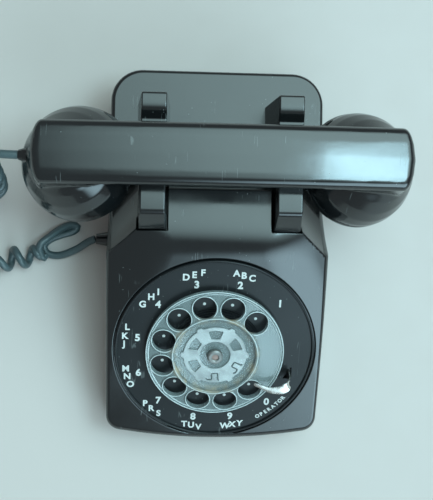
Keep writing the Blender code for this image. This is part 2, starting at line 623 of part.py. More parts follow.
def make_movement(dial_seat):
    pulse, governor = movement_points()
    base = washer("dial_base", SHAFT_RADIUS + RUNNING, BASE_RADIUS, -BASE_DEPTH - 1.8 * MM, -BASE_DEPTH,
                  "zinc_steel")
    place(base, parent=dial_seat)
    bore = SMALL_SHAFT_RADIUS + GAP
    gear("drive_gear", DRIVE_TEETH, SHAFT_RADIUS + GAP, -DRIVE_DEPTH - GEAR_THICKNESS, "brass", dial_seat)
    phase = mesh_phase(PINION_TEETH, PULSE_ANGLE, DRIVE_TEETH, 0.0)
    gear("pulse_pinion", PINION_TEETH, bore, -DRIVE_DEPTH - GEAR_THICKNESS, "brass", dial_seat,
         (*pulse, 0), phase)
    gear("pulse_gear", PULSE_GEAR_TEETH, bore, -PULSE_GEAR_DEPTH - GEAR_THICKNESS, "brass", dial_seat,
         (*pulse, 0), 0.0)
    phase = mesh_phase(PINION_TEETH, GOVERNOR_ANGLE, PULSE_GEAR_TEETH, 0.0)
    gear("governor_pinion", PINION_TEETH, bore, -PULSE_GEAR_DEPTH - GEAR_THICKNESS, "brass", dial_seat,
         (*governor, 0), phase)
    rear = -REAR_DEPTH
    for name, at in (("pulse_shaft", pulse), ("governor_shaft", governor)):
        shaft = rod(name, SMALL_SHAFT_RADIUS, rear + GAP, -BASE_DEPTH - 1.8 * MM - GAP, "zinc_steel", 16)
        place(shaft, (*at, 0), parent=dial_seat)
    cam_outline = []
    for k in range(32):
        angle = 2 * pi * k / 32
        radius = 3.2 * MM + 1.2 * MM * abs(cos(angle)) ** 3
        cam_outline.append((radius * cos(angle), radius * sin(angle)))
    cam = prism("pulse_cam", cam_outline, -CAM_DEPTH - 1.3 * MM, -CAM_DEPTH, "phenolic")
    hole(place(cam, (*pulse, 0), parent=dial_seat), (*pulse, 0), bore, 30 * MM, dial_seat)
    cup_low, cup_inner = rear + GAP, CUP_RADIUS - MM
    cup = turned("governor_cup", [(SMALL_SHAFT_RADIUS + RUNNING, cup_low), (CUP_RADIUS, cup_low),
                                  (CUP_RADIUS, -CUP_DEPTH), (cup_inner, -CUP_DEPTH),
                                  (cup_inner, cup_low + MM),
                                  (SMALL_SHAFT_RADIUS + RUNNING, cup_low + MM)], "zinc_steel", 32)
    place(cup, (*governor, 0), parent=dial_seat)
    low, high = cup_low + 3 * MM, -CUP_DEPTH - MM
    weights = place(washer("governor_weights", bore, 4.2 * MM, low, low + 1.4 * MM, "brass", 24),
                    (*governor, 0),
                    parent=dial_seat)
    for side in (0, 1):
        outline = arc((0, 0), cup_inner - 1.2 * MM, -50, 50, 8) + arc((0, 0), 3.4 * MM, 50, -50, 6)
        weight = prism(f"weight_{side}", outline, low, high, "brass")
        join(weights, place(weight, (*governor, 0), (pi * side, "Z"), dial_seat))
    make_return_spring(dial_seat)
    make_pulse_springs(dial_seat, pulse)
    make_rear_plate(dial_seat, pulse, governor)


def make_return_spring(dial_seat):
    """A flat clock spring wound round the dial shaft."""
    turns, inner, pitch, leaf = 3.0, SHAFT_RADIUS + 1.0 * MM, 1.6 * MM, 0.5 * MM
    steps = int(turns * 14)
    near, far = [], []
    for k in range(steps + 1):
        angle = 2 * pi * turns * k / steps
        radius = inner + pitch * turns * k / steps
        near.append((radius * cos(angle), radius * sin(angle)))
        far.append(((radius + leaf) * cos(angle), (radius + leaf) * sin(angle)))
    low = -REAR_DEPTH + 4 * MM
    place(prism("return_spring", near + far[::-1], low, low + 7 * MM, "zinc_steel"), parent=dial_seat)


def make_pulse_springs(dial_seat, pulse):
    """A pair of contact leaves beside the pulse cam, held in one block."""
    y = pulse[1] + 5.0 * MM
    x0, x1 = pulse[0] - 8 * MM, pulse[0] + 6 * MM
    low, high = -CAM_DEPTH - 1.6 * MM, -CAM_DEPTH + 0.8 * MM
    block = box("pulse_springs", (x0, y - 0.2 * MM, low), (x0 + 4 * MM, y + 4.6 * MM, high), "phenolic")
    place(block, parent=dial_seat)
    for k in (0, 1):
        leaf_y = y + 2.2 * MM * k + 0.2 * MM
        leaf = box(f"contact_leaf_{k}", (x0 + 2 * MM, leaf_y, low + 0.4 * MM),
                   (x1, leaf_y + 0.5 * MM, high - 0.4 * MM), "brass")
        join(block, place(leaf, parent=dial_seat))


def make_rear_plate(dial_seat, pulse, governor):
    """Rear plate of the movement with three pillars up to the dial base."""
    plate = washer("movement_plate", SHAFT_RADIUS + RUNNING, MOVEMENT_RADIUS, -REAR_DEPTH - 1.6 * MM,
                   -REAR_DEPTH, "zinc_steel")
    place(plate, parent=dial_seat)
    reach = MOVEMENT_RADIUS - 3.5 * MM
    for k in range(3):
        angle = radians(15 + 70 * k)
        pillar = rod(f"pillar_{k}", 2.2 * MM, -REAR_DEPTH - MM, -BASE_DEPTH - 1.8 * MM - GAP, "zinc_steel",
                     12)
        join(plate, place(pillar, (reach * cos(angle), reach * sin(angle), 0), parent=dial_seat))
    for at in (pulse, governor):
        hole(plate, (*at, -REAR_DEPTH), SMALL_SHAFT_RADIUS + 0.3 * MM, 3 * MM, dial_seat)


def make_dial_brackets():
    """Two steel cheeks that carry the dial base from the back plate."""
    half_run, under = 8 * MM, (BASE_DEPTH + 1.8 * MM + GAP) / cos(DIAL_TILT) + GAP
    x0, x1 = MOVEMENT_RADIUS + 1.5 * MM, MOVEMENT_RADIUS + 3.1 * MM
    for name, side in (("dial_bracket_left", -1), ("dial_bracket_right", 1)):
        outline = [(DIAL_Y - half_run, STANDING), (DIAL_Y + half_run, STANDING),
                   (DIAL_Y + half_run, face_height(DIAL_Y + half_run) - under),
                   (DIAL_Y - half_run, face_height(DIAL_Y - half_run) - under)]
        low, high = sorted((side * x0, side * x1))
        cheek = prism(name, outline, low, high, "zinc_steel", "X")
        low, high = sorted((side * x0, side * (x1 + 9 * MM)))
        foot = box(name + "_foot", (low, DIAL_Y - half_run, STANDING),
                   (high, DIAL_Y + half_run, STANDING + 1.6 * MM),
                   "zinc_steel")
        join(cheek, foot)
        at = (side * (x1 + 4.6 * MM), DIAL_Y, STANDING)
        hole(cheek, at, 1.9 * MM, 4 * MM)
        hole(bpy.data.objects["back_plate"], at, 1.9 * MM, 4 * MM)
        screw(name.replace("bracket", "screw"), (at[0], at[1], STANDING + 1.6 * MM + GAP), length=3.4 * MM)


# ---------------------------------------------------------------- hook
def hook_ear_front():
    return RIDGE_Y - 20.2 * MM


def make_hook():
    """The lever on its pivot pin, the two ear covers on its arms and the bracket that holds the pin."""
    front, top, foot = hook_ear_front(), SADDLE_Z, RIDGE_Z - HOOK_EAR_BASE
    for name, side in (("hook_ear_left", -1), ("hook_ear_right", 1)):
        outline = [(front, foot), (RIDGE_Y - 2 * MM, foot), (RIDGE_Y, top - 10 * MM),
                   (HANDLE_Y - 6 * MM, top - 5.5 * MM),
                   (HANDLE_Y - 6 * MM, top), (RIDGE_Y - 12 * MM, top), (front, brow_height(front) + 0.8 * MM)]
        drafted(name, outline, side, top, "housing_black")
    lever = box("hook_lever", (-EAR_OUTER + 3 * MM, PIVOT_Y - 4 * MM, PIVOT_DEPTH - 4 * MM),
                (EAR_OUTER - 3 * MM, PIVOT_Y + 4 * MM, PIVOT_DEPTH + 4 * MM), "zinc_steel")
    for side in (-1, 1):
        middle = side * EAR_SPACING / 2
        join(lever, box(f"lever_arm_{side}", (middle - 4 * MM, PIVOT_Y - 3 * MM, PIVOT_DEPTH + 2 * MM),
                        (middle + 4 * MM, PIVOT_Y + 3 * MM, foot - GAP), "zinc_steel"))
    hole(lever, (0, PIVOT_Y, PIVOT_DEPTH), PIN_RADIUS + 0.3 * MM, BODY_WIDTH, rotation=(pi / 2, "Y"))
    pin = rod("hook_pivot_pin", PIN_RADIUS, -BRACKET_HALF - 2 * MM, BRACKET_HALF + 2 * MM, "bright_steel", 20)
    place(pin, (0, PIVOT_Y, PIVOT_DEPTH), (pi / 2, "Y"))
    make_hook_bracket()
    make_hook_spring()
    contacts = box("hook_contact_springs", (-6 * MM, PIVOT_Y - 9 * MM, PIVOT_DEPTH - 14 * MM),
                   (6 * MM, PIVOT_Y + 4 * MM, PIVOT_DEPTH - 8 * MM), "phenolic")
    for k in range(3):
        x = (k - 1) * 4 * MM
        join(contacts, box(f"hook_leaf_{k}", (x - 0.8 * MM, PIVOT_Y - 7.5 * MM, PIVOT_DEPTH - 9 * MM),
                           (x + 0.8 * MM, PIVOT_Y - 6.9 * MM, PIVOT_DEPTH + 4 * MM), "brass"))


def make_hook_bracket():
    """A wide U of sheet steel: a foot on the back plate and a cheek at each end of the pivot pin."""
    thick = 1.6 * MM
    near, far = PIVOT_Y - 7 * MM, PIVOT_Y + 7 * MM
    outer, inner, top = BRACKET_HALF + thick / 2, BRACKET_HALF - thick / 2, PIVOT_DEPTH + 5 * MM
    outline = [(-outer, STANDING), (outer, STANDING), (outer, top), (inner, top), (inner, STANDING + thick),
               (-inner, STANDING + thick), (-inner, top), (-outer, top)]
    bracket = prism("hook_bracket", outline, near, far, "zinc_steel", "Y")
    hole(bracket, (0, PIVOT_Y, PIVOT_DEPTH), PIN_RADIUS + GAP, BODY_WIDTH, rotation=(pi / 2, "Y"))
    for name, x in (("hook_screw_left", -30 * MM), ("hook_screw_right", 30 * MM)):
        for target in (bracket, bpy.data.objects["back_plate"]):
            hole(target, (x, PIVOT_Y, STANDING), 1.9 * MM, 4 * MM)
        screw(name, (x, PIVOT_Y, STANDING + thick + GAP), length=3.4 * MM)


def make_hook_spring():
    """A coil spring between the bracket's foot and the lever's bar."""
    turns, radius, wire = 5, 4.0 * MM, 1.0 * MM
    low, high = STANDING + 1.6 * MM + wire, PIVOT_DEPTH - 4 * MM - wire
    points = []
    for k in range(turns * 12 + 1):
        angle = 2 * pi * k / 12
        points.append((20 * MM + radius * cos(angle), PIVOT_Y + radius * sin(angle),
                       low + (high - low) * k / (turns * 12)))
    curve = tube("hook_spring", points, wire, "bright_steel", 2.6 * MM, 1)
    return curve


# ---------------------------------------------------------------- bell, network and terminals
def make_bell():
    half = GONG_SPACING / 2
    frame = box("ringer_frame", (-half - 6 * MM, BELL_Y - 12 * MM, STANDING),
                (half + 6 * MM, BELL_Y + 10 * MM, STANDING + 1.8 * MM), "zinc_steel")
    post_top = GONG_TOP - 3.2 * MM
    for side in (-1, 1):
        post = rod(f"gong_post_{side}", 3 * MM, STANDING + MM, post_top, "zinc_steel", 16)
        join(frame, place(post, (side * half, BELL_Y, 0)))
        hole(frame, (side * half, BELL_Y, post_top), 1.4 * MM, 8 * MM)
    for name, side in (("left", -1), ("right", 1)):
        profile = [(1.8 * MM, post_top + GAP), (6 * MM, post_top + GAP),
                   (GONG_RADIUS - 5.5 * MM, post_top - 1.2 * MM),
                   (GONG_RADIUS - 1.5 * MM, post_top - 5 * MM), (GONG_RADIUS - 1.2 * MM, GONG_TOP - 14 * MM),
                   (GONG_RADIUS, GONG_TOP - 14 * MM), (GONG_RADIUS - 0.3 * MM, post_top - 4.4 * MM),
                   (GONG_RADIUS - 5 * MM, post_top + 0.4 * MM), (6 * MM, post_top + 1.6 * MM),
                   (1.8 * MM, post_top + 1.6 * MM)]
        place(turned(f"gong_{name}", profile, "gong_metal", 24), (side * half, BELL_Y, 0))
        screw(f"gong_screw_{name}", (side * half, BELL_Y, post_top + 1.6 * MM + GAP), length=7 * MM,
              radius=1.1 * MM)
    coil = turned("ringer_coil", [(0, -10 * MM), (8 * MM, -10 * MM), (8 * MM, -8.8 * MM),
                                  (6.5 * MM, -8.5 * MM),
                                  (6.5 * MM, 8.5 * MM), (8 * MM, 8.8 * MM), (8 * MM, 10 * MM), (0, 10 * MM)],
                  "coil_tape", 24)
    place(coil, (0, BELL_Y - MM, STANDING + 11 * MM), (pi / 2, "Y"))
    make_clapper()


def make_clapper():
    """A pivoted arm with a striker ball that swings between the two gongs."""
    pivot_y, level = BELL_Y + CLAPPER_REACH, GONG_TOP - 8 * MM
    stud_r = 1.4 * MM
    stud = rod("clapper_pivot", stud_r, STANDING, level + 3 * MM, "bright_steel", 16)
    place(stud, (0, pivot_y, 0))
    arm = box("clapper_arm", (-0.8 * MM, BELL_Y + 2.9 * MM, level - 0.8 * MM),
              (0.8 * MM, pivot_y, level + 0.8 * MM),
              "zinc_steel")
    join(arm, place(rod("clapper_hub", 3.6 * MM, level - 1.6 * MM, level + 1.6 * MM, "zinc_steel", 20),
                    (0, pivot_y, 0)))
    hole(arm, (0, pivot_y, level), stud_r + 0.3 * MM, 6 * MM)
    ball = [(2.4 * MM * sin(pi * k / 8), -2.4 * MM * cos(pi * k / 8)) for k in range(9)]
    place(turned("clapper_ball", ball, "brass", 12), (0, BELL_Y, level))


def make_network():
    """The sealed network block with its terminal studs, two fixing tabs and two screws."""
    half_x, low, high = 34 * MM, HANDLE_Y - 4 * MM, Y_TOP - 12 * MM
    top = min(34 * MM, DECK_DEPTH - WALL - 6 * MM)
    block = box("network_block", (-half_x, low, STANDING), (half_x, high, top), "phenolic")
    middle = (low + high) / 2
    join(block, box("network_tabs", (-half_x - 9 * MM, middle - 5 * MM, STANDING),
                    (half_x + 9 * MM, middle + 5 * MM, STANDING + 1.6 * MM), "phenolic"))
    for row in (-1, 1):
        for k in range(5):
            stud = rod(f"terminal_{row}_{k}", 2 * MM, top - MM, top + 2.5 * MM, "brass", 8)
            join(block, place(stud, ((k - 2) * 12 * MM, middle + row * (high - low) * 0.36, 0)))
    for name, side in (("network_screw_left", -1), ("network_screw_right", 1)):
        at = (side * (half_x + 5 * MM), middle, STANDING)
        for target in (block, bpy.data.objects["back_plate"]):
            hole(target, at, 1.9 * MM, 4 * MM)
        screw(name, (at[0], at[1], STANDING + 1.6 * MM + GAP), length=3.4 * MM)


def make_line_block():
    """Terminal block where the line and the handset cord are connected."""
    x0 = -BODY_WIDTH / 2 + WALL + 3 * MM
    low, high = DIAL_Y + 14 * MM, DIAL_Y + 42 * MM
    block = box("line_terminal_block", (x0, low, STANDING), (x0 + 10 * MM, high, STANDING + 8 * MM),
                "phenolic")
    for k in range(4):
        stud = rod(f"line_stud_{k}", 2 * MM, STANDING + 7 * MM, STANDING + 10 * MM, "brass", 8)
        join(block, place(stud, (x0 + 5 * MM, low + (k + 0.5) * (high - low) / 4, 0)))


# ---------------------------------------------------------------- handset
def handle_section(x):
    """Half outline of the handle's cross-section at x, as (offset from HANDLE_Y, z), top to bottom."""
    end, along = HANDSET_LENGTH / 2, abs(x)
    cap_z = HANDLE_TOP - 18 * MM
    t = min(max((along - (end - 12.5 * MM)) / (12.5 * MM), 0.0), 1.0)
    top = cap_z + (HANDLE_TOP - cap_z) * sqrt(1 - t * t) if t < 1 else cap_z
    bottom = HANDLE_BOTTOM - 14 * MM * smooth_step((along - (end - 50 * MM)) / (30 * MM))
    pinch, corner = 0.0, HANDLE_END_CORNER
    if along > end - corner:
        pinch = corner - sqrt(max(corner ** 2 - (along - end + corner) ** 2, 0.0))
    height = top - bottom
    spread = 7 * MM * smooth_step((along - (end - 45 * MM)) / (30 * MM))
    widths = [(HANDLE_TOP_WIDTH / 2, 1.0), (HANDLE_WIDTH / 2, 0.86), (HANDLE_WIDTH / 2 - 0.8 * MM, 0.6),
              (HANDLE_BOTTOM_WIDTH / 2 + 2 * MM + 0.6 * spread, 0.2),
              (HANDLE_BOTTOM_WIDTH / 2 - 2 * MM + spread, 0.0)]
    return [(max(w - pinch, 3 * MM), bottom + share * height) for w, share in widths]


def make_handle():
    end = HANDSET_LENGTH / 2
    near_end = [end - d * MM for d in (55, 45, 35, 25, 12.5, 8, 5, 2.5, 0.8, 0)]
    stations = [-x for x in reversed(near_end)] + [0.0] + near_end
    verts, rings = [], []
    for x in stations:
        half = handle_section(x)
        ring = [(x, HANDLE_Y + w, z) for w, z in half] + [(x, HANDLE_Y - w, z) for w, z in reversed(half)]
        rings.append(range(len(verts), len(verts) + len(ring)))
        verts += ring
    n = len(rings[0])
    faces = [tuple(rings[0]), tuple(reversed(rings[-1]))]
    for a, b in zip(rings, rings[1:]):
        faces += [(a[k], a[(k + 1) % n], b[(k + 1) % n], b[k]) for k in range(n)]
    return solid("handset_handle", verts, faces, "housing_black")


def cup_seat(name, side):
    """Empty at the middle of one cap's outer face, its +Z running up into the handset."""
    x = side * (HANDSET_LENGTH / 2 - CAP_INSET)
    return empty(name, (x, HANDLE_Y, HANDLE_TOP - FACE_BELOW_TOP), (side * CUP_TILT, "Y"))


def make_handset():
    handle = make_handle()
    seats = {"transmitter": cup_seat("transmitter_seat", -1), "receiver": cup_seat("receiver_seat", 1)}
    neck, capsule = CAP_RADIUS - 3.2 * MM, CAPSULE_RADIUS
    for name, seat in seats.items():
        cup = turned(name + "_shell", [(0, 8 * MM), (neck, 8 * MM), (neck, 12.6 * MM),
                                       (CAP_RADIUS - 0.5 * MM, 12.6 * MM),
                                       (CAP_RADIUS - 1.4 * MM, 18 * MM), (CAP_RADIUS - 4.2 * MM, 25 * MM),
                                       (CAP_RADIUS - 10.5 * MM, 32 * MM), (CAP_RADIUS - 19 * MM, 44 * MM),
                                       (CAP_RADIUS - 25 * MM, CUP_HEIGHT), (0, CUP_HEIGHT)], "housing_black",
                                       32)
        join(handle, place(cup, parent=seat))
    for name, seat in seats.items():
        cavity = rod(name + "_cavity", capsule + GAP, 0, 24 * MM, "housing_black", 24)
        cut(handle, place(cavity, parent=seat))
        duct = rod(name + "_duct", 3 * MM, 20 * MM, 40 * MM, "housing_black", 12)
        cut(handle, place(duct, parent=seat))
    for name, seat in seats.items():
        skirt = neck + GAP
        profile = [(0, 0), (22 * MM, 0.3 * MM), (CAP_RADIUS - 3 * MM, 2.6 * MM),
                   (CAP_RADIUS - 0.6 * MM, 6 * MM),
                   (CAP_RADIUS, 9 * MM), (CAP_RADIUS - 0.4 * MM, 12.3 * MM), (skirt, 12.3 * MM),
                   (skirt, 4.6 * MM),
                   (skirt - 3 * MM, 3.2 * MM), (0, 2.6 * MM)]
        cap = place(turned(name + "_cap", profile, "housing_black", 32), parent=seat)
        holes = 6 if name == "receiver" else 8
        for k in range(holes):
            angle = 2 * pi * k / holes
            drill = rod(f"{name}_hole_{k}", 1.2 * MM, -2 * MM, 6 * MM, "housing_black", 8)
            cut(cap, place(drill, (9 * MM * cos(angle), 9 * MM * sin(angle), 0), parent=seat))
    place(rod("receiver_unit", capsule, 5 * MM, 20 * MM, "capsule_grey", 24), parent=seats["receiver"])
    place(rod("transmitter_unit", capsule, 5 * MM, 14 * MM, "capsule_grey", 24), parent=seats["transmitter"])
    place(washer("transmitter_cup", 9 * MM, capsule, 14.4 * MM, 21 * MM, "phenolic", 24),
          parent=seats["transmitter"])
    ferrule = turned("handset_ferrule", [(0, 0), (3.9 * MM, 0), (3.6 * MM, 2 * MM), (2.8 * MM, 4.5 * MM),
                                         (0, 4.5 * MM)],
                     "housing_black", 20)
    place(ferrule, (-HANDSET_LENGTH / 2 - GAP, HANDLE_Y, FERRULE_Z), (-pi / 2, "Y"))


# ---------------------------------------------------------------- cord
def make_cord():
    """Strain relief in the left wall, and the cord: two leads and the coiled stretch as one fat tube."""
    wall_x = -BODY_WIDTH / 2
    relief = turned("cord_strain_relief", [(0, -6 * MM), (5.4 * MM, -6 * MM), (5.4 * MM, -WALL - GAP),
                                           (4.2 * MM, -WALL - GAP),
                                           (4.2 * MM, GAP), (4.6 * MM, GAP), (4.4 * MM, 2.5 * MM),
                                           (3.2 * MM, 9 * MM),
                                           (0, 9 * MM)], "housing_black", 20)
    place(relief, (wall_x, CORD_HOLE_Y, CORD_HOLE_DEPTH), (-pi / 2, "Y"))
    tube("cord_handset_lead", HANDSET_LEAD, CORD, "cord_grey", 8 * MM)
    tube("cord_coil", COIL_ROUTE, COIL, "cord_grey", 12 * MM)
    tube("cord_base_lead", BASE_LEAD, CORD, "cord_grey", 5 * MM)


# Routes in metres: straight out of the handset, down in coils to the surface, round beside the
# telephone, and back to the strain relief low in the left wall.
HANDSET_LEAD = [(-0.1117, 0.0510, 0.0976), (-0.1170, 0.0511, 0.0976), (-0.1240, 0.0514, 0.0968),
                (-0.1300, 0.0514, 0.0930)]
COIL_ROUTE = [(-0.1318, 0.0510, 0.0895), (-0.1326, 0.0490, 0.0760), (-0.1325, 0.0450, 0.0560),
              (-0.1330, 0.0410, 0.0350), (-0.1375, 0.0410, 0.0160), (-0.1460, 0.0510, 0.0086),
              (-0.1530, 0.0680, 0.0080), (-0.1640, 0.0830, 0.0080), (-0.1800, 0.0820, 0.0080),
              (-0.1880, 0.0660, 0.0080), (-0.1885, 0.0400, 0.0080), (-0.1880, 0.0100, 0.0080),
              (-0.1880, -0.0200, 0.0080), (-0.1860, -0.0480, 0.0080), (-0.1740, -0.0620, 0.0080),
              (-0.1600, -0.0560, 0.0080), (-0.1530, -0.0380, 0.0080), (-0.1470, -0.0190, 0.0080),
              (-0.1350, -0.0060, 0.0080), (-0.1200, -0.0015, 0.0080), (-0.1045, 0.0000, 0.0080)]
BASE_LEAD = [(-0.1025, -0.0005, 0.0130), (-0.0955, 0.0050, 0.0128), (-0.0900, 0.0110, 0.0095),
             (-0.0850, 0.0170, 0.0050), (-0.0842, 0.0245, 0.0028), (-0.0915, 0.0262, 0.0026),
             (-0.0985, 0.0190, 0.0026), (-0.1005, 0.0100, 0.0026), (-0.1000, 0.0020, 0.0026),
             (-0.0950, -0.0030, 0.0028), (-0.0870, -0.0010, 0.0048), (-0.0810, 0.0060, 0.0105),
             (-0.0770, 0.0100, 0.0146), (-0.0733, 0.0104, 0.0150)]


def main():
    for old in list(bpy.data.objects):
        bpy.data.objects.remove(old, do_unlink=True)
    dial_seat = empty("dial_seat", (0, DIAL_Y, DIAL_Z), (DIAL_TILT, "X"))
    make_housing(dial_seat)
    make_back_plate()
    make_number_plate(dial_seat)
    make_finger_stop(dial_seat)
    make_finger_wheel(dial_seat)
    make_wheel_centre(dial_seat)
    make_movement(dial_seat)
    make_dial_brackets()
    make_hook()
    make_bell()
    make_network()
    make_line_block()
    make_handset()
    make_cord()


main()
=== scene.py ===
"""The looks of the rotary wall telephone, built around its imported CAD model.

Units are metres, in the model's own frame: the telephone lies on its back with its wall face on the
floor, +Y towards its top edge, +X to the right of a person facing it and +Z out of the wall.
"""
import json
from math import asin, atan, ceil, cos, floor, hypot, pi, radians, sin, sqrt, tan

import bmesh
import bpy
from mathutils import Matrix, Vector
from mathutils.geometry import delaunay_2d_cdt


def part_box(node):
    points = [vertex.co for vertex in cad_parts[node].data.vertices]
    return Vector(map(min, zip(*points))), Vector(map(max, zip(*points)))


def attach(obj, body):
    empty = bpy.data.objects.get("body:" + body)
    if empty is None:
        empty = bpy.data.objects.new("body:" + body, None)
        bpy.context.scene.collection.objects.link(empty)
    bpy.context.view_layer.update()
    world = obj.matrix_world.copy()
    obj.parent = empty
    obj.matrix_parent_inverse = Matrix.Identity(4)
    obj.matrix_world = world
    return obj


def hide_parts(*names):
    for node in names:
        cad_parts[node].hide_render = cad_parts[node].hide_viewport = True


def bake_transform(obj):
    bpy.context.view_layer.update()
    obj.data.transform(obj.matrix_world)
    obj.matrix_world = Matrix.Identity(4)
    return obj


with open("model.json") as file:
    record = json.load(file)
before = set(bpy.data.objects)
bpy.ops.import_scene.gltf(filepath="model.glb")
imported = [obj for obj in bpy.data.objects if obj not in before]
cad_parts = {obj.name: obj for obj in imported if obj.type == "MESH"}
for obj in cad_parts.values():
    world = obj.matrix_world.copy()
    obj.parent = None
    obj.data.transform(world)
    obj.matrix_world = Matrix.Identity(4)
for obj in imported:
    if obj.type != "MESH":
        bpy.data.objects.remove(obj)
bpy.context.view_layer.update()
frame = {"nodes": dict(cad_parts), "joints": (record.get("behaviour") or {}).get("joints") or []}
MM = 0.001

# -------- places taken from the frame
joints = {joint["name"]: joint for joint in frame["joints"]}
housing_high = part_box("housing")[1]
handle_low, handle_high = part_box("handset_handle")
ear_low, ear_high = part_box("hook_ear_right")
DIAL_AXIS = -Vector(joints["dial_turn"]["axis"]).normalized()
DIAL_TILT = asin(-DIAL_AXIS.y)
DIAL_CENTRE = Vector(joints["dial_turn"]["pos_m"])
DIAL = Matrix.Translation(DIAL_CENTRE) @ Matrix.Rotation(DIAL_TILT, 4, "X")
HALF_WIDTH = housing_high.x
Y_TOP = housing_high.y
Y_BOTTOM = -Y_TOP
HANDLE_END = 106.5 * MM        # half the handset's length
EAR_TOP = ear_high.z

# -------- sizes
# Housing
RING_RADIUS = 59.5 * MM        # dial ring on the sloping face
BROW_LENGTH = 36.0 * MM        # from the dial ring to the ridge
BROW_RISE = 3.0 * MM
DECK_DEPTH = 50.0 * MM
DROP_BACK = 3.5 * MM           # from the ridge to where the step starts
DROP_RUN = 6.0 * MM            # slope of the step from the ridge down to the deck
WALL = 3.0 * MM
TOP_CORNER = 19.0 * MM
BOTTOM_CORNER = 9.0 * MM
BOTTOM_BULGE = 4.5 * MM
RAMP_LENGTH = 40.0 * MM
RAMP_EDGE_DROP = 1.0 * MM
SHOULDER_SINK = 8.5 * MM
SHOULDER_START = 10.0 * MM
OPENING_DROP = 4.0 * MM        # from the face to the skin's floor under the dial
EDGE_ROUND = 2.6 * MM          # rounding between the housing's face and its walls
LIP_ROUND = 0.7 * MM           # rounding of the face into the dial opening
SKIN_PITCH = 0.8 * MM
EAR_GAP = 0.4 * MM
SLOT_DEPTH = 12.6 * MM
SLOT_BACK = 12.0 * MM          # from the ridge to the slots' far ends
SLOT_HALF = 8.7 * MM           # half the width of each hook ear's slot

# Ears
EAR_SPACING = 76.0 * MM
EAR_WIDTH = 14.0 * MM
EAR_DRAFT = 2.6 * MM
EAR_ROUND = 1.1 * MM
EAR_CLEAR = 20.0 * MM          # from the handset's middle to each upper ear's face
EAR_STEP = 2.5 * MM            # from the saddle up to the upper ears' tops

# Dial
PLATE_RADIUS = 58.6 * MM
PLATE_THICKNESS = 2.4 * MM
PLATE_SINK = 0.4 * MM
WHEEL_RADIUS = 40.6 * MM
WHEEL_HUB_RADIUS = 24.6 * MM
WHEEL_HUB_TOP = 7.0 * MM
WHEEL_RIM_TOP = 3.1 * MM
WHEEL_THICKNESS = 2.2 * MM
WELL_DEPTH = 2.4 * MM          # of the wheel's middle, under its hub's top
# The beads are painted highlight: brighter clear plastic where the wheel's edges catch the light.
BEAD = 0.26 * MM               # radius of the beads along the wheel's edges
CLAMP_RADIUS = 18.4 * MM
CLAMP_WINDOW = 9.0 * MM        # radius of the clamp's middle window
SHAFT_RADIUS = 3.4 * MM
FINGER_HOLES = 10
FINGER_HOLE_RADIUS = 6.75 * MM
FINGER_CIRCLE = 31.4 * MM
HOLE_LEAN = radians(8)         # outwards, of each hole's axis
FIRST_HOLE = radians(43)
HOLE_STEP = radians(30)
STOP_PLACE = Vector((44.8, -15.8)) * MM

# Handset
HANDLE_TOP_WIDTH = 32.0 * MM
HANDLE_WIDTH = 34.4 * MM
HANDLE_BOTTOM_WIDTH = 22.0 * MM
HANDLE_THICKNESS = 21.5 * MM
CUP_TILT = radians(18)
CAP_RADIUS = 33.2 * MM
CAP_INSET = 30.0 * MM
FACE_BELOW_TOP = 60.0 * MM
SOUND_HOLE = 1.2 * MM
SOUND_CIRCLE = 9.0 * MM

# Cord
CORD = 4.8 * MM
COIL = 15.6 * MM
COIL_TURNS = 34

# Places that follow
BROW_Y = DIAL_CENTRE.y + RING_RADIUS * cos(DIAL_TILT)
BROW_Z = DIAL_CENTRE.z + RING_RADIUS * sin(DIAL_TILT)
RIDGE_Y = BROW_Y + BROW_LENGTH
RIDGE_Z = BROW_Z + BROW_RISE
HANDLE_TOP = handle_high.z
HANDLE_BOTTOM = HANDLE_TOP - HANDLE_THICKNESS
HANDLE_Y = (handle_low.y + handle_high.y) / 2
EAR_OUTER = (EAR_SPACING + EAR_WIDTH) / 2
SHOULDER_X = EAR_OUTER + 1.0 * MM
SHOULDER_Y = RIDGE_Y - 19.5 * MM
SHOULDER_FALL = 0.81 * (HALF_WIDTH - SHOULDER_X)
EAR_FRONT = ear_low.y
CREASE = radians(38)           # edges that turn more than this are sharp


# -------- shape helpers
def in_mm(points):
    """Points given in millimetres, as points in metres."""
    return [tuple(part * MM for part in point) for point in points]


def full_turn(steps):
    """Evenly spaced angles, once round."""
    return [2 * pi * k / steps for k in range(steps)]


def placed(name, data):
    """A new object in the scene."""
    made = bpy.data.objects.new(name, data)
    bpy.context.scene.collection.objects.link(made)
    return made


def shade(mesh, crease):
    """Smooth shading, but for edges that turn more than crease."""
    mesh.shade_smooth()
    mesh.set_sharp_from_angle(angle=crease)


def piece(name, shape, finish, body=None, matrix=None, crease=CREASE):
    """A mesh of (points, faces) that rides on a body; edges that turn more than crease stay sharp."""
    points, faces = shape
    mesh = bpy.data.meshes.new(name)
    mesh.from_pydata([tuple(p) for p in points], [], [tuple(f) for f in faces])
    sorter = bmesh.new()
    sorter.from_mesh(mesh)
    bmesh.ops.recalc_face_normals(sorter, faces=sorter.faces)
    sorter.to_mesh(mesh)
    sorter.free()
    if matrix:
        mesh.transform(matrix)
    if finish:
        mesh.materials.append(finish)
    shade(mesh, crease)
    made = placed(name, mesh)
    if body:
        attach(made, body)
    return made


def evaluated(made):
    """An object's mesh, as its modifiers leave it."""
    bpy.context.view_layer.update()
    return bpy.data.meshes.new_from_object(made.evaluated_get(bpy.context.evaluated_depsgraph_get()))


def settle(made):
    """Applies a piece's modifiers to its mesh."""
    done = evaluated(made)
    made.modifiers.clear()
    made.data = done


def shaped(made, operation, tool):
    """Unites a piece with another or cuts the other out of it, and removes the other."""
    step = made.modifiers.new("Shape", "BOOLEAN")
    step.operation = operation
    step.solver = "EXACT"
    step.object = tool
    settle(made)
    bpy.data.objects.remove(tool)


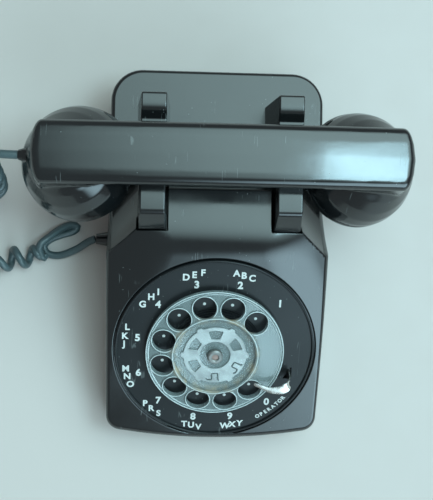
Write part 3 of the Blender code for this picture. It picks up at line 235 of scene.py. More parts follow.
def soften(made, width, segments=3):
    """Rounds a piece's sharp edges."""
    bevel = made.modifiers.new("Rounding", "BEVEL")
    bevel.width = width
    bevel.segments = segments
    bevel.limit_method = "ANGLE"
    bevel.angle_limit = CREASE
    bevel.harden_normals = True
    return made


def gathered(shapes):
    """Several (points, faces) shapes as one."""
    points, faces = [], []
    for more_points, more_faces in shapes:
        faces += [tuple(k + len(points) for k in face) for face in more_faces]
        points += list(more_points)
    return points, faces


def moved(shape, matrix):
    return [matrix @ Vector(p) for p in shape[0]], shape[1]


def rounded(corners, radius, steps=4):
    """A closed outline with its corners rounded; radius is one number, or one for each corner."""
    radii = radius if hasattr(radius, "__len__") else [radius] * len(corners)
    outline = []
    for k, corner in enumerate(corners):
        here, before, after = (Vector(corners[j % len(corners)]) for j in (k, k - 1, k + 1))
        reach = min(radii[k], 0.48 * (before - here).length, 0.48 * (after - here).length)
        if reach <= 0:
            outline.append(here)
            continue
        start = here + (before - here).normalized() * reach
        end = here + (after - here).normalized() * reach
        for j in range(steps + 1):
            t = j / steps
            outline.append(start * (1 - t) ** 2 + here * (2 * t * (1 - t)) + end * t ** 2)
    return outline


def turned(profile, segments=96):
    """A closed profile of (radius, height) points turned about Z; a point at radius 0 is a pole."""
    points, rings = [], []
    for radius, height in profile:
        count = segments if radius > 1e-7 else 1
        rings.append(range(len(points), len(points) + count))
        points += [(radius * cos(a), radius * sin(a), height) for a in full_turn(segments)[:count]]
    faces = []
    for near, far in zip(rings, rings[1:] + rings[:1]):
        for k in range(segments):
            j = (k + 1) % segments
            corners = [near[k % len(near)], near[j % len(near)], far[j % len(far)], far[k % len(far)]]
            face = tuple(dict.fromkeys(corners))
            if len(face) > 2:
                faces.append(face)
    return points, faces


def raised(outline, low, high):
    """An outline in XY extruded from low to high."""
    n = len(outline)
    points = [(x, y, z) for z in (low, high) for x, y in outline]
    faces = [tuple(range(n)), tuple(range(2 * n - 1, n - 1, -1))]
    faces += [(k, (k + 1) % n, n + (k + 1) % n, n + k) for k in range(n)]
    return points, faces


def lofted(loops):
    """Closed loops of equal length joined one after another, with flat ends."""
    n, last = len(loops[0]), len(loops) - 1
    points = [p for loop in loops for p in loop]
    faces = [(a + k, a + (k + 1) % n, a + n + (k + 1) % n, a + n + k)
             for a in range(0, last * n, n) for k in range(n)]
    faces += [tuple(range(n))[::-1], tuple(range(last * n, last * n + n))]
    return points, faces


def arc(centre, radius, start, end, steps):
    """Points on a circle, both ends included; angles in degrees."""
    angles = [radians(start + (end - start) * k / steps) for k in range(steps + 1)]
    return [Vector((centre[0] + radius * cos(a), centre[1] + radius * sin(a))) for a in angles]


def evenly(points, spacing, closed=False):
    """Points at an even spacing along a polyline."""
    line = [Vector(p) for p in points] + ([Vector(points[0])] if closed else [])
    reach = [0.0]
    for a, b in zip(line, line[1:]):
        reach.append(reach[-1] + (b - a).length)
    count = max(2, round(reach[-1] / spacing))
    even, k = [], 0
    for step in range(count + (0 if closed else 1)):
        goal = reach[-1] * step / count
        while k < len(reach) - 2 and reach[k + 1] < goal:
            k += 1
        even.append(line[k].lerp(line[k + 1], (goal - reach[k]) / (reach[k + 1] - reach[k])))
    return even


def spline(points, spacing):
    """Evenly spaced points on a smooth curve through the given ones."""
    pts = [Vector(p) for p in points]
    pts = [2 * pts[0] - pts[1]] + pts + [2 * pts[-1] - pts[-2]]
    fine = []
    for k in range(1, len(pts) - 2):
        a, b, c, d = pts[k - 1:k + 3]
        for j in range(24):
            t = j / 24
            fine.append(0.5 * (2 * b + (c - a) * t + (2 * a - 5 * b + 4 * c - d) * t ** 2
                               + (3 * b - a - 3 * c + d) * t ** 3))
    fine.append(pts[-2])
    return evenly(fine, spacing)


def smooth_step(t):
    t = min(max(t, 0.0), 1.0)
    return t * t * (3 - 2 * t)


def smooth_min(a, b, width):
    """The lower of two heights, rounded where they cross."""
    share = max(width - abs(a - b), 0.0) / width
    return min(a, b) - share * share * width / 4


def heading(line, k):
    """The direction of a line at its point k."""
    return (line[min(k + 1, len(line) - 1)] - line[max(k - 1, 0)]).normalized()


def carried(line):
    """(point, sideways, upwards) along a line, turned as little as possible from point to point."""
    sideways, frames = None, []
    for k, point in enumerate(line):
        along = heading(line, k)
        if sideways is None:
            sideways = along.cross(Vector((0, 0, 1)) if abs(along.z) < 0.9 else Vector((0, 1, 0)))
        sideways = (sideways - along * sideways.dot(along)).normalized()
        frames.append((point, sideways.copy(), along.cross(sideways)))
    return frames


def tube(line, radius, sides):
    """A round tube along a line."""
    return lofted([[point + across * radius * cos(a) + up * radius * sin(a) for a in full_turn(sides)]
                   for point, across, up in carried(line)])


# -------- material helpers
def add(tree, kind, inputs=None, **settings):
    """A shader node; each input is a value or another node's output."""
    node = tree.nodes.new("ShaderNode" + kind)
    for key, value in settings.items():
        setattr(node, key, value)
    for key, value in (inputs or {}).items():
        if isinstance(value, bpy.types.NodeSocket):
            tree.links.new(value, node.inputs[key])
        else:
            node.inputs[key].default_value = value
    return node


def maths(tree, operation, a, b=0.0, c=0.0):
    return add(tree, "Math", {0: a, 1: b, 2: c}, operation=operation).outputs[0]


def feed(shader, key, value):
    """Links another node's output into one of the shader's inputs."""
    shader.id_data.links.new(value, shader.inputs[key])


def ramped(tree, value, low, high, start=0.0, end=1.0):
    """A value mapped from low..high to start..end and held there."""
    limits = {"Value": value, "From Min": low, "From Max": high, "To Min": start, "To Max": end}
    return add(tree, "MapRange", limits).outputs["Result"]


def mixed(tree, share, first, second):
    """Two colours mixed by a share."""
    node = add(tree, "Mix", {"Factor": share}, data_type="RGBA")
    for socket, value in ((node.inputs[6], first), (node.inputs[7], second)):
        if isinstance(value, bpy.types.NodeSocket):
            tree.links.new(value, socket)
        else:
            socket.default_value = (*value, 1.0)
    return node.outputs[2]


def noise(tree, place, scale, detail=2.0, roughness=0.5):
    inputs = {"Vector": place, "Scale": scale, "Detail": detail, "Roughness": roughness}
    return add(tree, "TexNoise", inputs).outputs["Fac"]


def stretched(tree, place, turn, stretch):
    """Coordinates turned about Z and stretched along one direction."""
    inputs = {"Vector": place, "Rotation": (0.0, 0.0, turn), "Scale": stretch}
    return add(tree, "Mapping", inputs).outputs[0]


def hairlines(tree, place, turn, scale, width, amount):
    """Fine scratches: thin bands of a stretched noise, kept where a second noise is high."""
    lines = noise(tree, stretched(tree, place, turn, (1.0, 0.03, 0.15)), scale, 0.0)
    off = maths(tree, "ABSOLUTE", maths(tree, "SUBTRACT", lines, 0.5))
    line = ramped(tree, off, width, 0.2 * width)
    patch = ramped(tree, noise(tree, place, 90.0, 1.0), 0.66 - amount, 0.72 - amount)
    return maths(tree, "MULTIPLY", line, patch)


def specks(tree, place, scale, size, share):
    """Scattered dots of dust."""
    cells = add(tree, "TexVoronoi", {"Vector": place, "Scale": scale})
    dot = ramped(tree, cells.outputs["Distance"], size, 0.5 * size)
    pick = add(tree, "SeparateColor", {"Color": cells.outputs["Color"]}).outputs[0]
    return maths(tree, "MULTIPLY", dot, ramped(tree, pick, 1.0 - share, 1.001 - share))


def new_finish(name, colour, roughness, metallic=0.0, **sockets):
    """A Principled material; returns it with its tree, shader and object coordinates."""
    finish = bpy.data.materials.new(name)
    finish.use_nodes = True
    tree = finish.node_tree
    shader = tree.nodes["Principled BSDF"]
    shader.inputs["Base Color"].default_value = (*colour, 1.0)
    shader.inputs["Roughness"].default_value = roughness
    shader.inputs["Metallic"].default_value = metallic
    for key, value in sockets.items():
        shader.inputs[key.replace("_", " ").title().replace("Ior", "IOR")].default_value = value
    place = add(tree, "TexCoord").outputs["Object"]
    return finish, tree, shader, place


def bumped(tree, shader, height, strength, distance):
    """Gives the shader fine relief."""
    bump = add(tree, "Bump", {"Height": height, "Strength": strength, "Distance": distance})
    feed(shader, "Normal", bump.outputs["Normal"])


# -------- finishes
SCRATCHES = ((0.5, 110.0, 0.007), (-0.9, 140.0, 0.006), (1.5, 90.0, 0.006))    # turn, scale, width
DUST, GRIME, SCUFF = (0.42, 0.45, 0.44), (0.45, 0.36, 0.24), (0.95, 0.96, 0.95)


def moulded(name, colour, roughness, wear, dust, gloss):
    """Moulded plastic with smudges, hairline scratches and dust."""
    finish, tree, shader, place = new_finish(name, colour, roughness, specular_ior_level=gloss)
    scratches = 0.0
    for turn, scale, width in SCRATCHES:
        scratches = maths(tree, "MAXIMUM", hairlines(tree, place, turn, scale, width, wear), scratches)
    dots = maths(tree, "MULTIPLY", specks(tree, place, 520.0, 0.16, dust), 0.3)
    marks = maths(tree, "MAXIMUM", maths(tree, "MULTIPLY", scratches, 0.16), dots)
    feed(shader, "Base Color", mixed(tree, marks, colour, DUST))
    smudge = ramped(tree, noise(tree, place, 22.0, 5.0, 0.6), 0.35, 0.75, roughness, roughness + 0.13)
    feed(shader, "Roughness", maths(tree, "ADD", smudge, maths(tree, "MULTIPLY", marks, 0.6)))
    grain = maths(tree, "SUBTRACT", noise(tree, place, 260.0, 3.0), maths(tree, "MULTIPLY", scratches, 0.8))
    bumped(tree, shader, grain, 0.12, 0.05 * MM)
    return finish


def metal(name, colour, roughness, brushed=(1.0, 1.0, 1.0)):
    """Metal with uneven polish and a little tarnish."""
    finish, tree, shader, place = new_finish(name, colour, roughness, 1.0)
    stain = ramped(tree, noise(tree, place, 90.0, 5.0, 0.65), 0.45, 0.75)
    dull = tuple(0.55 * c for c in colour)
    feed(shader, "Base Color", mixed(tree, stain, colour, dull))
    polish = noise(tree, stretched(tree, place, 0.0, brushed), 500.0, 3.0)
    feed(shader, "Roughness", ramped(tree, polish, 0.2, 0.8, roughness - 0.08, roughness + 0.16))
    bumped(tree, shader, polish, 0.05, 0.02 * MM)
    return finish


def matt(name, colour, roughness, grain=300.0, variation=0.35, height=0.08 * MM):
    """A dull surface with fine grain and uneven colour."""
    finish, tree, shader, place = new_finish(name, colour, roughness)
    fine = noise(tree, place, grain, 4.0, 0.6)
    patches = ramped(tree, noise(tree, place, grain / 12, 3.0), 0.3, 0.7)
    second = tuple(min(1.0, (1 + variation) * c) for c in colour)
    feed(shader, "Base Color", mixed(tree, patches, colour, second))
    feed(shader, "Roughness", ramped(tree, fine, 0.2, 0.8, roughness - 0.1, roughness + 0.1))
    bumped(tree, shader, fine, 0.2, height)
    return finish


def clear(name, colour, roughness, opacity, dirt):
    """Scuffed clear plastic, with dirt gathered round the dial's hub."""
    finish, tree, shader, place = new_finish(name, colour, roughness, ior=1.49, specular_ior_level=0.7)
    scuffs = maths(tree, "MULTIPLY", hairlines(tree, place, 0.3, 160.0, 0.008, 0.05), 0.2)
    reach = add(tree, "VectorMath", {0: place, 1: DIAL_CENTRE}, operation="DISTANCE").outputs["Value"]
    ring = maths(tree, "ABSOLUTE", maths(tree, "SUBTRACT", reach, WHEEL_HUB_RADIUS))
    ring = ramped(tree, ring, 4.0 * MM, 0.5 * MM)
    grime = maths(tree, "MULTIPLY", ring, ramped(tree, noise(tree, place, 160.0, 4.0), 0.4, 0.65))
    grime = maths(tree, "MULTIPLY", grime, dirt)
    dirty = mixed(tree, grime, colour, GRIME)
    feed(shader, "Base Color", mixed(tree, scuffs, dirty, SCUFF))
    edge = add(tree, "LayerWeight", {"Blend": 0.35}).outputs["Facing"]
    solid = maths(tree, "ADD", edge, maths(tree, "MULTIPLY", grime, 0.35))
    feed(shader, "Alpha", ramped(tree, solid, 0.3, 0.95, opacity, 1.0))
    haze = ramped(tree, noise(tree, place, 60.0, 4.0), 0.3, 0.8, roughness, roughness + 0.06)
    feed(shader, "Roughness", maths(tree, "ADD", haze, scuffs))
    return finish


def slot_of(finish):
    """The slot that a material is named after."""
    return finish.name.split(".")[0]


BLACK = (0.0060, 0.0070, 0.0075)
FINISHES = [
    moulded("housing_black", BLACK, 0.09, 0.03, 0.05, 0.75),
    moulded("plate_black", (0.009, 0.010, 0.011), 0.28, 0.03, 0.12, 0.28),
    clear("clear_plastic", (0.22, 0.265, 0.265), 0.08, 0.58, 0.9),
    metal("bright_steel", (0.82, 0.81, 0.76), 0.20),
    metal("zinc_steel", (0.56, 0.57, 0.56), 0.38),
    metal("brass", (0.70, 0.50, 0.22), 0.30),
    metal("gong_metal", (0.62, 0.52, 0.34), 0.30),
    matt("coil_tape", (0.30, 0.10, 0.04), 0.6),
    matt("phenolic", (0.10, 0.05, 0.03), 0.5),
    metal("capsule_grey", (0.35, 0.36, 0.36), 0.45),
    matt("cord_grey", (0.048, 0.070, 0.074), 0.36, 500.0, 0.5, 0.04 * MM),
]
FINISHES = {slot_of(finish): finish for finish in FINISHES}
white_paint = matt("white_paint", (0.52, 0.53, 0.51), 0.5, 700.0, 0.1, 0.02 * MM)
# Brighter, more opaque clear plastic for the beads of painted highlight along the wheel's edges.
painted_edge_glint = clear("painted_edge_glint", (0.62, 0.68, 0.68), 0.05, 0.75, 0.5)
cover_clear = clear("cover_clear", (0.40, 0.46, 0.46), 0.05, 0.06, 0.3)
nut_metal = metal("nut_metal", (0.30, 0.30, 0.29), 0.55)
pink_brass = metal("pink_brass", (0.34, 0.25, 0.22), 0.5)
hub_metal = metal("hub_metal", (0.50, 0.53, 0.52), 0.46, (1.0, 6.0, 1.0))


def finish_cad_nodes():
    """Each CAD node takes its slot's finish; its own material is named after the slot."""
    for node in frame["nodes"].values():
        node.data.materials[0] = FINISHES[slot_of(node.data.materials[0])]


# -------- camera
CAMERA_PLACE = Vector((-37.1, -24.5, 658.5)) * MM
CAMERA_TURN = (radians(2.55), radians(-3.58), radians(0.90))
FOCAL_LENGTH = 2.05            # in picture heights


def make_camera():
    data = bpy.data.cameras.new("camera")
    data.sensor_fit = "VERTICAL"
    data.angle = 2 * atan(0.5 / FOCAL_LENGTH)
    data.clip_start = 0.01
    camera = placed("camera", data)
    camera.location = CAMERA_PLACE
    camera.rotation_euler = CAMERA_TURN
    bpy.context.scene.camera = camera


# -------- cord
# The route is that of the CAD model's cord, apart from the lead into the housing.
HANDSET_LEAD = in_mm([(-111.7, 51, 97.6), (-117, 51.1, 97.6), (-124, 51.4, 96.8), (-130, 51.4, 93)])
COIL_ROUTE = in_mm([(-131.8, 51, 89.5), (-132.6, 49, 76), (-132.5, 45, 56), (-133, 41, 35),
                    (-137.5, 41, 16), (-146, 51, 8.6), (-153, 68, 8), (-164, 83, 8), (-180, 82, 8),
                    (-188, 66, 8), (-188.5, 40, 8), (-188, 10, 8), (-188, -20, 8), (-186, -48, 8),
                    (-174, -62, 8), (-160, -56, 8), (-153, -38, 8), (-147, -19, 8), (-135, -6, 8),
                    (-120, -1.5, 8), (-104.5, 0, 8)])
BASE_LEAD = in_mm([(-106, -1.9, 9), (-108.3, 3, 10.5), (-107.2, 7, 11.5), (-102, 11.6, 10),
                   (-95.6, 16.7, 7), (-89.5, 19.5, 4.5), (-85.4, 18.4, 2.8), (-88.2, 15.5, 2.6),
                   (-95.7, 13.1, 2.6), (-102.6, 10.1, 2.6), (-106.3, 6, 2.6), (-104.3, 1.5, 2.6),
                   (-98.6, 0, 2.8), (-92.9, 1, 4), (-84.5, 4.5, 8), (-78, 8.4, 13.5), (-73.3, 10.4, 15)])
POINTS_PER_TURN = 18


def coiled(route):
    """A helix round the route, which starts and ends on it."""
    frames = carried(spline(route, 0.5 * MM))
    steps = COIL_TURNS * POINTS_PER_TURN
    line = []
    for step in range(steps + 1):
        share = step / steps
        place = share * (len(frames) - 1)
        k = min(int(place), len(frames) - 2)
        mix = place - k
        middle, across, up = (frames[k][j].lerp(frames[k + 1][j], mix) for j in range(3))
        angle = 2 * pi * COIL_TURNS * share
        swing = (COIL - CORD) / 2 * smooth_step(1.2 * COIL_TURNS * min(share, 1 - share))
        line.append(middle + (across * cos(angle) + up * sin(angle)) * swing)
    return line


def make_cord():
    """The coiled cord, from the handset's lead down to the base."""
    line = spline(HANDSET_LEAD + coiled(COIL_ROUTE) + BASE_LEAD, 1.6 * MM)
    cord = piece("handset_cord", tube(line, CORD / 2, 12), FINISHES["cord_grey"])
    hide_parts("cord_handset_lead", "cord_coil", "cord_base_lead")
    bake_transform(cord)


# -------- housing
def face_height(y):
    return DIAL_CENTRE.z + (y - DIAL_CENTRE.y) * tan(DIAL_TILT)


def brow_height(y):
    """The convex brow that carries the sloping face on from the dial ring and levels off at the ridge."""
    t = min((y - BROW_Y) / BROW_LENGTH, 1.0)
    start = tan(DIAL_TILT) * BROW_LENGTH
    return ((2 * t ** 3 - 3 * t ** 2 + 1) * BROW_Z + (t ** 3 - 2 * t ** 2 + t) * start
            + (3 * t ** 2 - 2 * t ** 3) * RIDGE_Z)


def shoulder_plane():
    """A point on the plane that eases each shoulder down, and the plane's normal, on the right side."""
    outer_y, start_y = SHOULDER_Y - SHOULDER_FALL, DIAL_CENTRE.y + SHOULDER_START
    inner = Vector((SHOULDER_X, SHOULDER_Y, brow_height(SHOULDER_Y)))
    outer = Vector((HALF_WIDTH, outer_y, face_height(outer_y) - SHOULDER_SINK))
    start = Vector((HALF_WIDTH, start_y, face_height(start_y)))
    return outer, (outer - start).cross(inner - outer).normalized()


PLANE_POINT, PLANE_NORMAL = shoulder_plane()
RAMP_TOPS = (brow_height(SHOULDER_Y), face_height(SHOULDER_Y - SHOULDER_FALL) - SHOULDER_SINK)


def ramp_height(x, y):
    """The scooped ramp beyond the shoulder's diagonal edge; it carries on below the deck."""
    across = (x - SHOULDER_X) / (HALF_WIDTH - SHOULDER_X)
    top = RAMP_TOPS[0] + (RAMP_TOPS[1] - RAMP_TOPS[0]) * across - RAMP_EDGE_DROP
    left = 1 - (y - SHOULDER_Y + SHOULDER_FALL * across) / RAMP_LENGTH
    wall = 10 * max(SHOULDER_X + 0.5 * MM - x, 0.0)
    return DECK_DEPTH + (top - DECK_DEPTH) * left * abs(left) + wall


def face_surface(x, y):
    """Height of the housing's outer face, without the dial opening and the ears' slots."""
    x = abs(x)
    height = brow_height(y) if y > BROW_Y else face_height(y)
    drop = RIDGE_Z + 1.0 * MM - (y - RIDGE_Y - DROP_BACK) * (RIDGE_Z - DECK_DEPTH) / DROP_RUN
    height = smooth_min(height, drop, 5.0 * MM)
    offset = PLANE_NORMAL.x * (x - PLANE_POINT.x) + PLANE_NORMAL.y * (y - PLANE_POINT.y)
    height = smooth_min(height, PLANE_POINT.z - offset / PLANE_NORMAL.z, 6.0 * MM)
    height = smooth_min(height, ramp_height(x, y), 1.6 * MM)
    return -smooth_min(-height, -DECK_DEPTH, 1.0 * MM) if y > BROW_Y else height


def ring_distance(x, y):
    """Distance from the dial's centre, in the plane of the sloping face."""
    return hypot(x, (y - DIAL_CENTRE.y) / cos(DIAL_TILT))


def in_slot(x, y, margin=0.0):
    """True over a hook ear's slot, made larger by a margin."""
    side = abs(abs(x) - EAR_SPACING / 2)
    return (side < SLOT_HALF + margin
            and EAR_FRONT - EAR_GAP - margin < y < RIDGE_Y + SLOT_BACK + margin)


def skin_height(x, y):
    """Height of the housing's skin, with the dial opening and the ears' slots."""
    height = face_surface(x, y)
    from_lip = ring_distance(x, y) - RING_RADIUS
    if from_lip < -0.5 * MM:
        return height - OPENING_DROP
    if from_lip < LIP_ROUND:
        return height - LIP_ROUND + sqrt(max(LIP_ROUND ** 2 - (LIP_ROUND - max(from_lip, 0)) ** 2, 0))
    return min(height, RIDGE_Z - SLOT_DEPTH) if in_slot(x, y) else height


def skin_normal(x, y, height_of=None):
    height_of, step = height_of or skin_height, 0.05 * MM
    return Vector((height_of(x - step, y) - height_of(x + step, y),
                   height_of(x, y - step) - height_of(x, y + step), 2 * step)).normalized()


def outline(inset):
    """The housing's outline seen along Z, moved inwards, as even points from the middle of the bottom."""
    half, radius, low_radius = HALF_WIDTH - inset, TOP_CORNER - inset, BOTTOM_CORNER - inset
    low, high = Y_BOTTOM + inset, Y_TOP - inset
    flat = half - low_radius
    right = [Vector((flat * k / 24, low + BOTTOM_BULGE * (k / 24) ** 2)) for k in range(24)]
    right += arc((half - low_radius, low + BOTTOM_BULGE + low_radius), low_radius, -82, 0, 20)
    right += arc((half - radius, high - radius), radius, 0, 90, 40)
    left = [Vector((-p.x, p.y)) for p in reversed(right[1:])]
    return evenly(right + left, SKIN_PITCH, closed=True)


def within(x, y, inset):
    """True inside the outline moved inwards by inset."""
    half, radius, low_radius = HALF_WIDTH - inset, TOP_CORNER - inset, BOTTOM_CORNER - inset
    x, flat = abs(x), HALF_WIDTH - BOTTOM_CORNER
    if x > half or y > Y_TOP - inset:
        return False
    if x > half - radius and y > Y_TOP - TOP_CORNER:
        return hypot(x - half + radius, y - Y_TOP + TOP_CORNER) < radius
    if x > flat and y < Y_BOTTOM + BOTTOM_BULGE + BOTTOM_CORNER:
        return hypot(x - flat, y - Y_BOTTOM - BOTTOM_BULGE - BOTTOM_CORNER) < low_radius
    return y > Y_BOTTOM + inset + BOTTOM_BULGE * (x / flat) ** 2


def feature_loops():
    """Closed rows of points along the dial opening's lip and round the ears' slots."""
    loops = []
    reaches = [RING_RADIUS - 0.55 * MM, RING_RADIUS - 0.45 * MM]
    reaches += [RING_RADIUS + LIP_ROUND * (1 - cos(radians(a))) for a in (0, 25, 45, 65, 90)]
    for reach in reaches:
        loops.append([Vector((reach * cos(a), DIAL_CENTRE.y + reach * sin(a) * cos(DIAL_TILT)))
                      for a in full_turn(360)])
    for middle in (-EAR_SPACING / 2, EAR_SPACING / 2):
        for grow in (-0.04 * MM, 0.04 * MM):
            low, high = EAR_FRONT - EAR_GAP - grow, RIDGE_Y + SLOT_BACK + grow
            left, right = middle - SLOT_HALF - grow, middle + SLOT_HALF + grow
            corners = [(left, low), (right, low), (right, high), (left, high)]
            loops.append(evenly(corners, 0.6 * MM, closed=True))
    return loops


def make_housing():
    """The housing's skin: a height field over its outline, a rounded edge, and walls down to the floor."""
    rim = outline(EDGE_ROUND)
    plan = list(rim) + [p for loop in feature_loops() for p in loop]
    for column in range(-ceil(HALF_WIDTH / SKIN_PITCH), ceil(HALF_WIDTH / SKIN_PITCH) + 1):
        for row in range(floor(Y_BOTTOM / SKIN_PITCH), ceil(Y_TOP / SKIN_PITCH)):
            x, y = column * SKIN_PITCH, (row + 0.5 * (column % 2)) * SKIN_PITCH
            from_lip = ring_distance(x, y) - RING_RADIUS
            near_lip = -0.9 * MM < from_lip < LIP_ROUND + 0.4 * MM
            near_slot = in_slot(x, y, 0.3 * MM) and not in_slot(x, y, -0.3 * MM)
            if within(x, y, EDGE_ROUND + 0.5 * SKIN_PITCH) and not near_lip and not near_slot:
                plan.append(Vector((x, y)))
    edges = [(k, (k + 1) % len(rim)) for k in range(len(rim))]
    flat, _, faces, origins = delaunay_2d_cdt(plan, edges, [], 1, 1e-7)[:4]
    place_of = {source: k for k, sources in enumerate(origins) for source in sources}
    points = [Vector((p.x, p.y, skin_height(p.x, p.y))) for p in flat]
    normals = [skin_normal(p.x, p.y) for p in flat]
    loop = [place_of[k] for k in range(len(rim))]
    faces = [tuple(face) for face in faces]

    def add_loop(previous, loop_points, loop_normals):
        start = len(points)
        points.extend(loop_points)
        normals.extend(loop_normals)
        ring = list(range(start, start + len(loop_points)))
        if previous:
            n = len(ring)
            faces.extend((previous[k], ring[k], ring[(k + 1) % n], previous[(k + 1) % n]) for k in range(n))
        return ring

    count = len(rim)
    outwards = []
    for k in range(count):
        along = rim[(k + 1) % count] - rim[k - 1]
        outwards.append(Vector((along.y, -along.x)).normalized())
    tops = [skin_normal(p.x, p.y, face_surface) for p in rim]
    for turn in range(1, 7):
        angle = radians(15 * turn)
        ring_points, ring_normals = [], []
        for p, out, top in zip(rim, outwards, tops):
            q = p + out * EDGE_ROUND * sin(angle)
            ring_points.append(Vector((q.x, q.y, face_surface(p.x, p.y) - EDGE_ROUND * (1 - cos(angle)))))
            ring_normals.append((out.to_3d() * sin(angle) + top * cos(angle)).normalized())
        loop = add_loop(loop, ring_points, ring_normals)
    brink, sideways = [points[k].copy() for k in loop], [out.to_3d() for out in outwards]
    for share in (0.9, 0.6, 0.3, 0.0):
        loop = add_loop(loop, [Vector((p.x, p.y, p.z * share)) for p in brink], sideways)
    down = [Vector((0, 0, -1))] * count
    inner = [Vector((p.x, p.y, 0)) - s * WALL for p, s in zip(brink, sideways)]
    loop = add_loop(None, [Vector((p.x, p.y, 0)) for p in brink], down)
    add_loop(loop, inner, down)
    loop = add_loop(None, inner, [-s for s in sideways])
    add_loop(loop, [p + Vector((0, 0, 6 * MM)) for p in inner], [-s for s in sideways])

    mesh = bpy.data.meshes.new("housing_skin")
    mesh.from_pydata([tuple(p) for p in points], [], faces)
    mesh.materials.append(FINISHES["housing_black"])
    mesh.shade_smooth()
    mesh.normals_split_custom_set_from_vertices([tuple(n) for n in normals])
    skin = placed("housing_skin", mesh)
    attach(skin, "base")
    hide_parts("housing")


def drafted(profile, side, top, low):
    """An ear: a YZ outline extruded across X and wider towards its foot."""
    loops = []
    for edge in (-1, 1):
        loop = []
        for y, z in profile:
            grow = EAR_DRAFT * min(1.0, max(0.0, (top - z) / (top - low)))
            loop.append(Vector((side * EAR_SPACING / 2 + edge * (EAR_WIDTH / 2 + grow), y, z)))
        loops.append(loop)
    return lofted(loops)


def make_ears():
    """Two fixed ears above the handset and the two hook ears below it; the outlines are in millimetres."""
    saddle, deck, middle = EAR_TOP / MM, DECK_DEPTH / MM, HANDLE_Y / MM
    top, face = saddle + EAR_STEP / MM, middle + EAR_CLEAR / MM
    upper = [(face + 19, deck - 2), (face + 16, top), (face + 7, top), (face + 1.2, top - 3.2),
             (face - 1.2, saddle), (middle + 5, saddle), (middle + 5, saddle - 5), (face - 4, saddle - 13),
             (face - 3, deck - 2)]
    upper = in_mm(rounded(upper, [0, 1.6, 3, 2.5, 1.5, 1, 1, 4, 0]))
    front, foot, ridge = EAR_FRONT / MM, brow_height(EAR_FRONT) / MM, RIDGE_Y / MM
    lower = [(front, foot - 8), (ridge - 2, RIDGE_Z / MM - 11), (ridge, saddle - 10),
             (middle - 6, saddle - 5.5), (middle - 6, saddle), (ridge - 12, saddle), (front, foot + 0.8)]
    lower = in_mm(rounded(lower, [0, 0, 2, 1, 1, 2.2, 0.6]))
    finish = FINISHES["housing_black"]
    for word, side in (("left", -1), ("right", 1)):
        ear = piece(f"upper_ear_{word}", drafted(upper, side, EAR_TOP + EAR_STEP, DECK_DEPTH), finish, "base")
        soften(ear, EAR_ROUND)
        ear = piece(f"lower_ear_{word}", drafted(lower, side, EAR_TOP, DECK_DEPTH), finish, "hook")
        soften(ear, EAR_ROUND)
        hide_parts(f"hook_ear_{word}")


# -------- dial
def make_number_plate():
    """The plate under the wheel: rolled rim, stepped middle and the finger stop's pit."""
    inner, edge, top = SHAFT_RADIUS / MM + 0.8, PLATE_RADIUS / MM, -PLATE_SINK / MM
    under = top - PLATE_THICKNESS / MM
    profile = [(inner, under), (edge, under), (edge, 0.2)]
    profile += arc((edge - 0.7, 0.2), 0.7, 15, 165, 6) + [(edge - 1.5, top)]
    for step, depth in ((28.0, 0.0), (26.6, 0.5), (24.8, 1.0), (23.0, 1.4)):
        profile += [(step, top - depth), (step - 0.5, top - depth - 0.4)]
    profile.append((inner, top - 1.8))
    black, crease = FINISHES["plate_black"], radians(30)
    plate = piece("number_plate", turned(in_mm(profile), 144), black, None, DIAL, crease)
    pit = [STOP_PLACE + Vector(p) for p in in_mm([(-3.4, -3.0), (1.8, -3.0), (1.8, 4.6), (0.4, 4.8)])]
    shaped(plate, "DIFFERENCE", piece("pit", raised(pit, -9 * MM, 9 * MM), None, None, DIAL))
    shade(plate.data, crease)
    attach(plate, "base")
    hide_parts("dial_number_plate")
    pit_floor = piece("stop_pit_floor", raised(pit, -3.4 * MM, -3.0 * MM), black, "base", DIAL)


DIGIT_HEIGHT, LETTER_HEIGHT, SMALL_HEIGHT = 4.4 * MM, 3.9 * MM, 2.3 * MM
CAPITAL = 0.70                 # height of a capital, in the font's size
WORD = "OPERATOR"
WORD_CIRCLE, WORD_START, WORD_SPAN = 53.4 * MM, radians(-58.5), radians(21.5)
# Places on the plate, in millimetres from the dial's centre
DIGITS = {"1": (36.7, 31.5), "2": (13.1, 42.9), "3": (-11.9, 42.9), "4": (-33.7, 29.9), "5": (-45.3, 7.9),
          "6": (-44.5, -15.6), "7": (-32.3, -34.9), "8": (-11.2, -46.1), "9": (11.1, -45.6),
          "0": (32.8, -35.1)}
LETTERS = {"A": (10.6, 50.5), "B": (15.0, 49.1), "C": (19.7, 47.5), "D": (-18.0, 47.5),
           "E": (-13.3, 49.1), "F": (-8.4, 50.5), "G": (-42.6, 29.9), "H": (-37.7, 34.7),
           "I": (-33.7, 37.9), "L": (-51.1, 14.9), "K": (-52.3, 9.0), "J": (-53.4, 3.1),
           "M": (-52.0, -13.0), "N": (-51.1, -18.3), "O": (-49.2, -23.7), "P": (-40.1, -37.0),
           "R": (-36.3, -40.5), "S": (-32.1, -44.0), "T": (-16.4, -51.5), "U": (-12.2, -52.2),
           "V": (-7.7, -53.6), "W": (8.4, -52.6), "X": (12.8, -51.5), "Y": (17.3, -50.7)}


def glyph(text, height, place, turn):
    """One character as a thin solid lying on the number plate, centred on its place."""
    curve = bpy.data.curves.new("glyph", "FONT")
    curve.body = text
    curve.size = height / CAPITAL
    curve.offset = 0.05 * height
    curve.extrude = 0.06 * MM
    curve.resolution_u = 6
    made = placed("glyph", curve)
    mesh = evaluated(made)
    bpy.data.objects.remove(made)
    low, high = (Vector([pick(v.co[k] for v in mesh.vertices) for k in range(3)]) for pick in (min, max))
    spot = Vector((place[0], place[1], -PLATE_SINK + 0.03 * MM))
    matrix = Matrix.Translation(spot) @ Matrix.Rotation(turn, 4, "Z") @ Matrix.Translation(-(low + high) / 2)
    shape = [matrix @ v.co for v in mesh.vertices], [tuple(p.vertices) for p in mesh.polygons]
    bpy.data.meshes.remove(mesh)
    return shape


